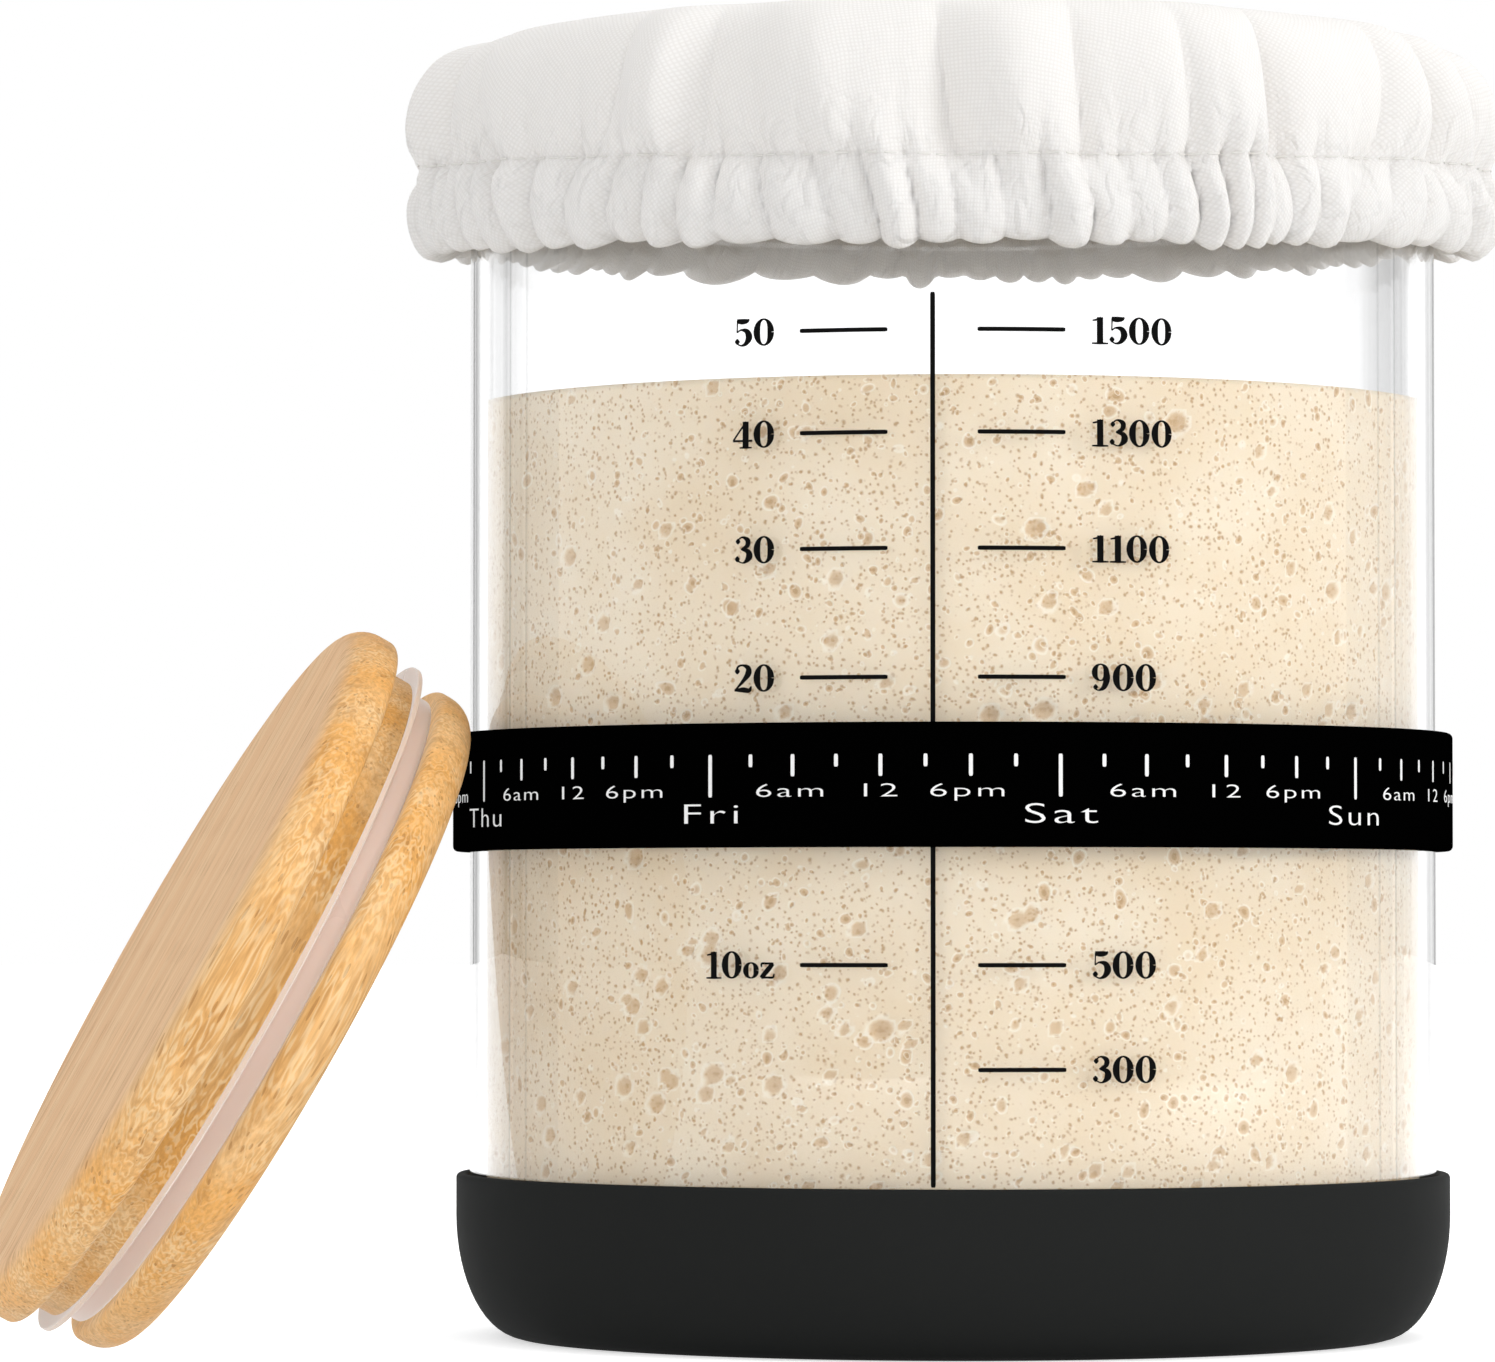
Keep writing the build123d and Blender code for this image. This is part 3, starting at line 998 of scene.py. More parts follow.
@dataclass
class Starter:
    """The batter in the jar: crater-like bubbles against the glass and a bubbly crowned top."""

    glass: GlassJar
    level: float = 125.0 * MM
    crown: float = 1.5 * MM
    gap: float = 0.08 * MM
    columns: int = 540
    rows: int = 136
    top_rings: int = 36
    seed: int = 11
    side_craters: int = 420
    top_craters: int = 140
    # The smallest crater's radius, and how much larger the largest is
    side_sizes: Place = (0.85 * MM, 1.3 * MM)
    top_sizes: Place = (1.2 * MM, 3.5 * MM)
    # A crater's depth as a share of its radius
    side_depth: float = 0.5
    top_depth: float = 0.35

    def build(self, finishes: Finishes) -> None:
        """Make the batter and let it stand for its CAD node.

        The side and the top are one grid that starts and ends on the axis.

        Args:
            finishes: the object's materials.
        """
        side = self.glass.inside - self.gap
        floor = self.glass.floor + self.gap
        corner = self.glass.inner_corner(self.gap, 8)
        wall = np.linspace((side, corner[-1, 1]), (side, self.level), self.rows)[1:]
        rings = np.linspace(side, 0.0, self.top_rings)[1:]
        top = np.column_stack([rings, self.level + self.crown * (1.0 - (rings / side) ** 2)])
        outline = np.vstack([[(0.0, floor), (0.5 * corner[0, 0], floor)], corner, wall, top])
        batter = turned("starter_batter", outline, segments=self.columns)
        points, depth = self.pressed(coordinates(batter.data), side)
        batter.data.vertices.foreach_set("co", points.ravel())
        batter.data.update()
        set_point_attribute(batter, "crater", depth)
        dress(batter, finishes.batter, Body.JAR, Slot.STARTER, "sourdough_starter")

    def pressed(self, points: np.ndarray, side: float) -> tuple[np.ndarray, np.ndarray]:
        """Press the craters into the side and the top.

        A crater of radius q and depth d pushes a point at distance x from its middle in by
        d (1 - (x/q)^2)^1.5. The deepest crater counts on the side, and all of them on the top.

        Args:
            points: the batter's points.
            side: its radius.

        Returns:
            The moved points and, for each, how deep in a crater it lies from 0 to 1.
        """
        chance = np.random.default_rng(self.seed)
        across, along, height = points.T
        radius = np.hypot(across, along)
        angle = np.arctan2(across, -along)
        on_side = radius > side - 0.01 * MM
        on_top = (radius < side - 1.0 * MM) & (height > self.level)
        depth, push = np.zeros((2, len(points)))
        for _ in range(self.side_craters):
            where = chance.uniform(-math.pi, math.pi)
            middle = self.glass.floor + (self.level - self.glass.floor) * chance.beta(1.0, 1.25)
            size = self.side_sizes[0] + self.side_sizes[1] * chance.beta(1.0, 2.6)
            flat = chance.uniform(0.75, 1.0)
            beside = (np.mod(angle - where + math.pi, math.tau) - math.pi) * side
            near = on_side & (np.abs(beside) < size) & (np.abs(height - middle) < size)
            inside = 1.0 - (beside[near] / size) ** 2 - ((height[near] - middle) / (size * flat)) ** 2
            bowl = np.clip(inside, 0.0, None) ** 1.5
            depth[near] = np.maximum(depth[near], bowl)
            push[near] = np.maximum(push[near], bowl * size * self.side_depth)
        moved = points.copy()
        moved[:, :2] *= ((radius - push) / np.maximum(radius, 1e-9))[:, None]
        for _ in range(self.top_craters):
            reach, turn = side * math.sqrt(chance.uniform(0.0, 0.93)), chance.uniform(0.0, math.tau)
            size = self.top_sizes[0] + self.top_sizes[1] * chance.beta(1.0, 3.0)
            away = np.hypot(across - reach * math.cos(turn), along - reach * math.sin(turn)) / size
            near = on_top & (away < 1.0)
            bowl = (1.0 - away[near] ** 2) ** 1.5
            moved[near, 2] -= bowl * size * self.top_depth
            depth[near] = np.maximum(depth[near], bowl * 0.8)
        return moved, depth


@dataclass
class Sleeve:
    """The silicone sleeve: an open cup that follows the jar's foot, with a soft rim."""

    glass: GlassJar
    wall: float = 1.5 * MM
    floor: float = 2.0 * MM
    height: float = 22.0 * MM
    gap: float = 0.3 * MM
    rim_round: float = 0.6 * MM
    floor_rings: int = 6

    def build(self, finishes: Finishes) -> None:
        """Make the sleeve and let it stand for its CAD node.

        Args:
            finishes: the object's materials.
        """
        bore = self.glass.radius + self.gap
        outer = bore + self.wall
        inner_width = self.glass.corner_width + self.gap
        width = inner_width + self.wall
        corner_top = self.glass.corner_height + self.floor
        foot = quarter((outer - width, corner_top), (width, corner_top))
        inner_foot = quarter((bore - inner_width, corner_top), (inner_width, self.glass.corner_height))
        rim = rounded_outline([
            Corner(outer, corner_top + 0.5 * MM),
            Corner(outer, self.height, self.rim_round),
            Corner(bore, self.height, self.rim_round),
            Corner(bore, corner_top + 0.5 * MM),
        ], closed=False)
        outline = np.vstack([
            np.linspace((0.0, 0.0), foot[0], self.floor_rings)[:-1],
            foot,
            rim,
            inner_foot[::-1],
            np.linspace(inner_foot[0], (0.0, self.floor), self.floor_rings)[1:],
        ])
        sleeve = turned("silicone_sleeve", outline)
        dress(sleeve, finishes.sleeve, Body.SLEEVE, Slot.SLEEVE, "base_sleeve")


@dataclass
class Print:
    """Flat marks collected into one mesh of thin closed plates, each wrapped round the jar."""

    radius: float
    lift: float = 0.02 * MM
    thickness: float = 0.05 * MM
    points: list[np.ndarray] = field(default_factory=list)
    faces: list[list[int]] = field(default_factory=list)

    def add(self, flat: np.ndarray, faces: list, angle: float, height: float) -> None:
        """Wrap a plate's points on the cylinder and collect them.

        Args:
            flat: rows of x, y and z.
            faces: the plate's faces.
            angle: where x is zero, in degrees from the front towards +X.
            height: where y is zero.
        """
        start = sum(len(rows) for rows in self.points)
        turn = math.radians(angle) + flat[:, 0] / self.radius
        out = self.radius + flat[:, 2]
        self.points.append(np.column_stack([out * np.sin(turn), -out * np.cos(turn), height + flat[:, 1]]))
        self.faces.extend([[start + index for index in face] for face in faces])

    def ribbon(self, path: np.ndarray, widths: np.ndarray, angle: float, height: float) -> None:
        """Add a stroke: a plate along a path, whose edges lie half its width to each side.

        Args:
            path: rows of x and y in metres.
            widths: the stroke's width at each row.
            angle: where x is zero, in degrees.
            height: where y is zero.
        """
        ahead = np.gradient(path, axis=0)
        ahead /= np.linalg.norm(ahead, axis=1)[:, None] + 1e-12
        side = np.column_stack([-ahead[:, 1], ahead[:, 0]]) * widths[:, None] / 2.0
        left, right = path + side, path - side
        low, high = self.lift, self.lift + self.thickness
        count = len(path)
        layers = [(left, high), (right, high), (right, low), (left, low)]
        flat = np.vstack([np.column_stack([edge, np.full(count, level)]) for edge, level in layers])
        faces = grid_faces(4, count, True, False).tolist()
        faces.append([part * count for part in range(4)])
        faces.append([part * count + count - 1 for part in reversed(range(4))])
        self.add(flat, faces, angle, height)

    def bar(self, start: Place, end: Place, width: float, angle: float, height: float = 0.0) -> None:
        """Add a straight bar with softly rounded ends.

        Args:
            start: its first end, x and y.
            end: its last end.
            width: its width.
            angle: where x is zero, in degrees.
            height: where y is zero.
        """
        length = math.dist(start, end)
        cap = min(width / (2.0 * length), 0.4)
        share = np.array([0.0, 0.3 * cap, *np.linspace(cap, 1.0 - cap, 12), 1.0 - 0.3 * cap, 1.0])
        path = np.outer(1.0 - share, start) + np.outer(share, end)
        edge = np.minimum(share, 1.0 - share) * length
        inwards = 1.0 - np.minimum(edge / (width / 2), 1.0)
        self.ribbon(path, width * np.sqrt(np.clip(1.0 - inwards**2 * 0.6, 0.0, 1.0)), angle, height)

    def word(self, text: str, size: float, stretch: float, angle: float, height: float) -> None:
        """Add a word in Blender's built-in plain letters.

        Args:
            text: the word.
            size: the letters' size in metres.
            stretch: how much wider than normal they are.
            angle: where the word's middle stands, in degrees.
            height: its baseline.
        """
        curve = bpy.data.curves.new("word", "FONT")
        curve.body = text
        curve.size = size
        curve.extrude = self.thickness / 2.0
        curve.offset = -0.012 * size
        curve.resolution_u = 4
        curve.space_character = 1.15
        curve.align_x = "CENTER"
        holder = place_object("word", curve)
        bpy.context.view_layer.update()
        mesh = bpy.data.meshes.new_from_object(holder.evaluated_get(bpy.context.evaluated_depsgraph_get()))
        flat = coordinates(mesh)
        flat[:, 0] *= stretch
        flat[:, 2] += self.lift + self.thickness / 2.0
        self.add(flat, [list(face.vertices) for face in mesh.polygons], angle, height)
        bpy.data.objects.remove(holder)
        bpy.data.meshes.remove(mesh)
        bpy.data.curves.remove(curve)

    def build(self, name: str) -> bpy.types.Object:
        """Make the collected marks one object.

        Args:
            name: the piece's name.

        Returns:
            The object.
        """
        obj = mesh_object(name, np.vstack(self.points), self.faces)
        face_outwards(obj, 0.001 * MM)
        obj.data.shade_flat()
        return obj


@dataclass(frozen=True)
class Stroke:
    """A pen stroke of a numeral: places and widths as shares of the numeral's height."""

    places: Places
    widths: tuple[float, ...]

    def sampled(self, steps: int = 10) -> tuple[np.ndarray, np.ndarray]:
        """Follow the stroke smoothly through its places.

        Between neighbours a Catmull-Rom curve takes its slopes from the places on either side.

        Args:
            steps: points in each span.

        Returns:
            Rows of x and y, and the width at each.
        """
        known = np.column_stack([np.array(self.places), np.array(self.widths)])
        padded = np.vstack([2 * known[0] - known[1], known, 2 * known[-1] - known[-2]])
        share = np.linspace(0.0, 1.0, steps, endpoint=False)[:, None]
        spans = []
        for index in range(1, len(padded) - 2):
            before, start, end, after = padded[index - 1:index + 3]
            spans.append(
                start + 0.5 * share * (end - before)
                + share**2 * (before - 2.5 * start + 2.0 * end - 0.5 * after)
                + share**3 * (1.5 * (start - end) + 0.5 * (after - before))
            )
        spans.append(known[-1][None, :])
        rows = np.vstack(spans)
        return rows[:, :2], np.clip(rows[:, 2], 0.01, None)


def ring_stroke(centre: Place, half_width: float, half_height: float, thick: float, thin: float) -> Stroke:
    """Make a ring whose sides are thick and whose top and bottom are thin.

    Args:
        centre: its middle.
        half_width: half of its middle line's width.
        half_height: half of its middle line's height.
        thick: the width of its sides.
        thin: the width of its top and bottom.

    Returns:
        The stroke.
    """
    angles = [math.tau * step / 16 for step in range(17)]
    places = tuple(
        (centre[0] + half_width * math.cos(a), centre[1] + half_height * math.sin(a)) for a in angles
    )
    return Stroke(places, tuple(thin + (thick - thin) * math.cos(a) ** 2 for a in angles))


def ball(x: float, y: float, size: float) -> Stroke:
    """Make a round blob at the end of a stroke."""
    return Stroke(((x - size * 0.5, y), (x, y), (x + size * 0.5, y)), (size * 0.25, size, size * 0.25))


NUMERALS: dict[str, tuple[float, tuple[Stroke, ...]]] = {
    "0": (0.66, (ring_stroke((0.32, 0.5), 0.205, 0.475, 0.165, 0.04),)),
    "1": (0.5, (
        Stroke(((0.27, 0.02), (0.27, 0.5), (0.27, 0.98)), (0.15, 0.15, 0.15)),
        Stroke(((0.3, 0.96), (0.18, 0.89), (0.06, 0.86)), (0.06, 0.05, 0.035)),
        Stroke(((0.04, 0.018), (0.27, 0.018), (0.5, 0.018)), (0.035, 0.05, 0.035)),
    )),
    "2": (0.6, (
        Stroke(
            ((0.09, 0.74), (0.16, 0.93), (0.3, 0.975), (0.45, 0.88),
             (0.46, 0.68), (0.32, 0.42), (0.07, 0.07)),
            (0.05, 0.05, 0.05, 0.12, 0.15, 0.09, 0.03),
        ),
        Stroke(((0.05, 0.06), (0.3, 0.07), (0.48, 0.05), (0.55, 0.2)), (0.05, 0.12, 0.1, 0.03)),
        ball(0.13, 0.76, 0.14),
    )),
    "3": (0.58, (
        Stroke(
            ((0.09, 0.82), (0.25, 0.975), (0.42, 0.86), (0.4, 0.65), (0.22, 0.53)),
            (0.04, 0.04, 0.12, 0.11, 0.03),
        ),
        Stroke(
            ((0.22, 0.53), (0.42, 0.45), (0.46, 0.24), (0.29, 0.03), (0.07, 0.14)),
            (0.03, 0.12, 0.16, 0.04, 0.04),
        ),
        ball(0.13, 0.82, 0.13),
        ball(0.11, 0.17, 0.14),
    )),
    "4": (0.62, (
        Stroke(((0.4, 0.02), (0.4, 0.5), (0.4, 0.98)), (0.15, 0.15, 0.15)),
        Stroke(((0.42, 0.97), (0.22, 0.63), (0.03, 0.28)), (0.05, 0.04, 0.04)),
        Stroke(((0.02, 0.27), (0.3, 0.27), (0.6, 0.27)), (0.05, 0.05, 0.05)),
        Stroke(((0.22, 0.018), (0.4, 0.018), (0.58, 0.018)), (0.035, 0.045, 0.035)),
    )),
    "5": (0.58, (
        Stroke(((0.1, 0.93), (0.26, 0.91), (0.4, 0.93), (0.47, 0.99)), (0.1, 0.13, 0.1, 0.03)),
        Stroke(((0.115, 0.95), (0.11, 0.75), (0.105, 0.5)), (0.035, 0.03, 0.03)),
        Stroke(
            ((0.105, 0.51), (0.22, 0.6), (0.39, 0.55), (0.46, 0.33),
             (0.37, 0.1), (0.22, 0.025), (0.07, 0.13)),
            (0.03, 0.045, 0.12, 0.165, 0.1, 0.04, 0.04),
        ),
        ball(0.11, 0.17, 0.14),
    )),
    "9": (0.6, (
        ring_stroke((0.27, 0.68), 0.165, 0.295, 0.14, 0.035),
        Stroke(
            ((0.44, 0.72), (0.45, 0.45), (0.37, 0.15), (0.22, 0.025), (0.09, 0.1)),
            (0.12, 0.15, 0.12, 0.04, 0.04),
        ),
        ball(0.13, 0.14, 0.13),
    )),
    "o": (0.5, (ring_stroke((0.24, 0.3), 0.155, 0.275, 0.135, 0.035),)),
    "z": (0.46, (
        Stroke(((0.05, 0.42), (0.06, 0.55), (0.22, 0.555), (0.4, 0.56)), (0.03, 0.05, 0.05, 0.04)),
        Stroke(((0.38, 0.55), (0.22, 0.3), (0.04, 0.03)), (0.1, 0.12, 0.1)),
        Stroke(((0.04, 0.035), (0.22, 0.04), (0.38, 0.045), (0.42, 0.18)), (0.04, 0.05, 0.05, 0.03)),
    )),
}


@dataclass
class VolumeScale:
    """The printed fill marks on the front of the glass: a centre line, dashes and plain numbers."""

    glass: GlassJar
    line_angle: float = -3.7
    line_width: float = 0.62 * MM
    line_bottom: float = 22.2 * MM
    line_top: float = 135.3 * MM
    dashes: Places = ((-18.8, -8.75), (1.3, 11.2))
    dash_width: float = 0.55 * MM
    left_end: float = -21.7
    right_start: float = 14.1
    letter_height: float = 3.45 * MM
    letter_stretch: float = 1.36
    letter_weight: float = 1.6
    # Each mark's height in mm, with its number on the left and on the right
    marks: tuple[tuple[float, str, str], ...] = (
        (130.6, "50", "1500"),
        (117.6, "40", "1300"),
        (102.9, "30", "1100"),
        (86.6, "20", "900"),
        (50.2, "10oz", "500"),
        (37.0, "", "300"),
    )

    def width(self, text: str) -> float:
        """Give the width of a number in metres."""
        return sum(NUMERALS[letter][0] for letter in text) * self.letter_height * self.letter_stretch

    def number(self, ink: Print, text: str, angle: float, height: float) -> None:
        """Write a number from its left end.

        Args:
            ink: the print to add to.
            text: the number.
            angle: the angle of its left end, in degrees.
            height: the height of its baseline.
        """
        for place, letter in enumerate(text):
            start = self.width(text[:place])
            for stroke in NUMERALS[letter][1]:
                path, widths = stroke.sampled()
                flat = path * self.letter_height * (self.letter_stretch, 1.0) + (start, 0.0)
                ink.ribbon(flat, widths * self.letter_height * self.letter_weight, angle, height)

    def build(self, finishes: Finishes) -> None:
        """Print the scale on the glass.

        Args:
            finishes: the object's materials.
        """
        ink = Print(self.glass.radius)
        ink.bar((0.0, self.line_bottom), (0.0, self.line_top), self.line_width, self.line_angle)
        for level, left, right in self.marks:
            height = level * MM
            for text, (first, last) in zip((left, right), self.dashes):
                if text:
                    reach = math.radians(last - first) * self.glass.radius
                    ink.bar((0.0, 0.0), (reach, 0.0), self.dash_width, first, height)
            baseline = height - self.letter_height / 2.0
            left_start = self.left_end - math.degrees(self.width(left) / self.glass.radius)
            self.number(ink, left, left_start, baseline)
            self.number(ink, right, self.right_start, baseline)
        dress(ink.build("volume_scale_print"), finishes.black_ink, Body.JAR, Slot.GLASS)


@dataclass
class WeekBand:
    """The black silicone ring and its printed week: day ticks, hour ticks and short words."""

    radius: float = 67.3 * MM
    bore: float = 65.3 * MM
    bottom: float = 65.1 * MM
    height: float = 15.8 * MM
    outer_round: float = 0.7 * MM
    inner_round: float = 0.3 * MM
    day_pitch: float = 38.85
    friday_angle: float = -28.7
    days: tuple[str, ...] = ("Mon", "Tue", "Wed", "Thu", "Fri", "Sat", "Sun")
    hours: tuple[str, ...] = ("6am", "12", "6pm")
    tick_top: float = 76.85 * MM
    day_tick: float = 5.4 * MM
    hour_tick: float = 2.8 * MM
    short_tick: float = 1.6 * MM
    tick_width: float = 0.5 * MM
    hour_baseline: float = 71.45 * MM
    hour_size: float = 2.45 * MM
    hour_stretch: float = 2.12
    hour_shift: float = -0.35
    day_baseline: float = 68.1 * MM
    day_size: float = 3.7 * MM
    day_stretch: float = 1.95

    def build(self, finishes: Finishes) -> None:
        """Make the ring and its print.

        Args:
            finishes: the object's materials.
        """
        top = self.bottom + self.height
        outline = rounded_outline([
            Corner(self.bore, self.bottom, self.inner_round),
            Corner(self.radius, self.bottom, self.outer_round),
            Corner(self.radius, top, self.outer_round),
            Corner(self.bore, top, self.inner_round),
        ], closed=True)
        ring = turned("week_band_ring", outline, closed=True)
        dress(ring, finishes.band, Body.BAND, Slot.BAND, "day_band")
        ink = Print(self.radius)
        step = self.day_pitch / 8.0
        ticks = (self.day_tick,) + 3 * (self.short_tick, self.hour_tick) + (self.short_tick,)
        for number, day in enumerate(self.days):
            start = self.friday_angle + (number - self.days.index("Fri")) * self.day_pitch
            ink.word(day, self.day_size, self.day_stretch, start, self.day_baseline)
            for place, length in enumerate(ticks):
                ends = (0.0, self.tick_top), (0.0, self.tick_top - length)
                ink.bar(*ends, self.tick_width, start + place * step)
            for place, hour in enumerate(self.hours, start=1):
                where = start + 2 * place * step + self.hour_shift
                ink.word(hour, self.hour_size, self.hour_stretch, where, self.hour_baseline)
        dress(ink.build("week_scale_print"), finishes.white_ink, Body.BAND, Slot.BAND)


@dataclass
class Lid:
    """The leaning bamboo lid and its seal, turned about the axis that the CAD frame gives."""

    radius: float = 51.0 * MM
    board: float = 6.9 * MM
    face_round: float = 4.2 * MM
    under_round: float = 1.2 * MM
    neck_radius: float = 47.5 * MM
    neck_length: float = 3.8 * MM
    groove_depth: float = 2.0 * MM
    groove_width: float = 3.5 * MM
    groove_round: float = 0.2 * MM
    plug_radius: float = 48.6 * MM
    plug_thickness: float = 6.5 * MM
    plug_upper_round: float = 1.2 * MM
    plug_lower_round: float = 4.4 * MM
    rim_width: float = 1.2 * MM
    rim_fade: float = 1.5 * MM
    seal_gap: float = 0.05 * MM
    seal_inset: float = 0.9 * MM
    seal_lip: float = 49.7 * MM
    lip_thickness: float = 0.7 * MM
    lip_sweep: float = 0.5 * MM
    lip_round: float = 0.12 * MM

    @property
    def neck_end(self) -> float:
        """Where the neck ends, along the axis from the face."""
        return -self.board - self.neck_length

    @property
    def groove_end(self) -> float:
        """Where the seal's groove ends, along the axis from the face."""
        return self.neck_end - self.groove_width

    def axis(self) -> TurningAxis:
        """Find the lid's axis and face from its CAD node and its joint.

        The joint gives the face's normal. The face lies where the board reaches furthest along it, and the
        axis runs through the middle of the board's reach along two directions across it.

        Returns:
            The axis, with its origin in the middle of the face and the grain's direction across it.
        """
        joint = next(j for j in frame["joints"] if j["name"] == "lid_away")
        normal = np.array(joint["axis"], float)
        normal /= np.linalg.norm(normal)
        points = coordinates(frame["nodes"]["lid_board"].data)
        slope = np.array([0.0, 0.0, 1.0]) - normal * normal[2]
        slope /= np.linalg.norm(slope)
        side = np.cross(normal, slope)
        middle = sum(way * 0.5 * ((points @ way).max() + (points @ way).min()) for way in (slope, side))
        return TurningAxis(middle + normal * (points @ normal).max(), normal, slope)

    def build(self, finishes: Finishes) -> None:
        """Make the board and its seal, which neither mirror in the glass nor tint what stands beside them.

        Args:
            finishes: the object's materials.
        """
        axis = self.axis()
        for piece in (self.turned_board(axis), self.turned_seal(axis, finishes)):
            piece.visible_diffuse = False
            piece.visible_glossy = False

    def turned_board(self, axis: TurningAxis) -> bpy.types.Object:
        """Turn the board and mark its rim for the grain and its neck for painted shade.

        Args:
            axis: the lid's axis.

        Returns:
            The board.
        """
        groove = self.neck_radius - self.groove_depth
        plug_end = self.groove_end - self.plug_thickness
        outline = rounded_outline([
            Corner(0.0, 0.0),
            Corner(self.radius, 0.0, self.face_round),
            Corner(self.radius, -self.board, self.under_round),
            Corner(self.neck_radius, -self.board, 0.3 * MM),
            Corner(self.neck_radius, self.neck_end, self.groove_round),
            Corner(groove, self.neck_end, self.groove_round),
            Corner(groove, self.groove_end, self.groove_round),
            Corner(self.plug_radius, self.groove_end, self.plug_upper_round),
            Corner(self.plug_radius, plug_end, self.plug_lower_round),
            Corner(0.0, plug_end),
        ], closed=False, arc_steps=10)
        board = turned("bamboo_board", outline, axis)
        away = coordinates(board.data) - axis.origin
        depth = -(away @ axis.along)
        reach = np.linalg.norm(away + np.outer(depth, axis.along), axis=1)
        on_face = np.clip((self.radius - self.rim_width - reach) / self.rim_fade, 0.0, 1.0)
        set_point_attribute(board, "rim", 1.0 - on_face * (depth < self.board / 2))
        # The neck mark covers the board's underside, the neck and the groove, where the material paints shade
        on_neck = (depth > self.board - 0.05 * MM) & (depth < -self.groove_end)
        set_point_attribute(board, "neck", on_neck & (reach < self.radius - self.rim_width / 2))
        turn = Matrix((tuple(axis.across), tuple(np.cross(axis.along, axis.across)), tuple(axis.along)))
        dress(board, Bamboo().build(turn), Body.LID, Slot.WOOD, "lid_board")
        return board

    def turned_seal(self, axis: TurningAxis, finishes: Finishes) -> bpy.types.Object:
        """Turn the seal: a ring in the groove, with a lip that sweeps back over the neck.

        Args:
            axis: the lid's axis.
            finishes: the object's materials.

        Returns:
            The seal.
        """
        inner = self.neck_radius - self.groove_depth + self.seal_gap
        outer = self.neck_radius - self.seal_inset
        top, bottom = self.neck_end - self.seal_gap, self.groove_end + self.seal_gap
        tip = self.neck_end + self.lip_sweep
        outline = rounded_outline([
            Corner(inner, top),
            Corner(self.neck_radius + self.seal_gap, top, 0.2 * MM),
            Corner(self.seal_lip, tip, self.lip_round),
            Corner(self.seal_lip, tip - self.lip_thickness, self.lip_round),
            Corner(outer, top - self.lip_thickness, 0.4 * MM),
            Corner(outer, bottom, 0.4 * MM),
            Corner(inner, bottom),
        ], closed=True)
        seal = turned("silicone_seal", outline, axis, closed=True)
        dress(seal, finishes.seal, Body.LID, Slot.SEAL, "lid_seal")
        return seal


@dataclass(frozen=True)
class ClothSettling:
    """How Blender's cloth solver lets the gathered cotton settle, in a copy ten times its size."""

    enlargement: float = 10.0
    frames: int = 20
    quality: int = 6
    mass: float = 0.2
    tension: float = 10.0
    shear: float = 4.0
    bending: float = 0.5
    pressure: float = 0.7
    drag: float = 6.0

    def settle(self, points: np.ndarray, flat: np.ndarray, faces: list, held: np.ndarray) -> np.ndarray:
        """Let a cloth settle from its first shape towards the lengths of its flat cut.

        Args:
            points: the first shape, rows of x, y and z.
            flat: where each point lies in the flat cut.
            faces: the cloth's faces.
            held: the points that stay where they are.

        Returns:
            The settled points.
        """
        scene = bpy.context.scene
        cloth = mesh_object("settling_cloth", points * self.enlargement, faces)
        cloth.shape_key_add(name="first_shape")
        cut = cloth.shape_key_add(name="flat_cut")
        cut.data.foreach_set("co", (flat * self.enlargement).ravel())
        group = cloth.vertex_groups.new(name="held")
        group.add(held.tolist(), 1.0, "REPLACE")
        modifier = cloth.modifiers.new("cloth", "CLOTH")
        modifier.point_cache.frame_start, modifier.point_cache.frame_end = 1, self.frames
        modifier.collision_settings.use_collision = False
        settings = modifier.settings
        settings.quality = self.quality
        settings.mass = self.mass
        settings.air_damping = self.drag
        settings.tension_stiffness = settings.compression_stiffness = self.tension
        settings.shear_stiffness = self.shear
        settings.bending_stiffness = self.bending
        settings.vertex_group_mass = group.name
        settings.rest_shape_key = cut
        settings.use_pressure = True
        settings.uniform_pressure_force = self.pressure
        settings.effector_weights.gravity = 0.0
        for frame_number in range(1, self.frames + 1):
            scene.frame_set(frame_number)
        evaluated = cloth.evaluated_get(bpy.context.evaluated_depsgraph_get())
        settled = np.empty(points.size)
        evaluated.data.vertices.foreach_get("co", settled)
        scene.frame_set(1)
        bpy.data.objects.remove(cloth)
        moved = settled.reshape(-1, 3) / self.enlargement
        LOG.info("the cloth moved by up to %.2f mm", np.linalg.norm(moved - points, axis=1).max() / MM)
        return moved


def smooth_step(values: np.ndarray, first: float, last: float) -> np.ndarray:
    """Rise from 0 to 1 between two values, with level ends: 3 t^2 - 2 t^3."""
    share = np.clip((values - first) / (last - first), 0.0, 1.0)
    return share * share * (3.0 - 2.0 * share)


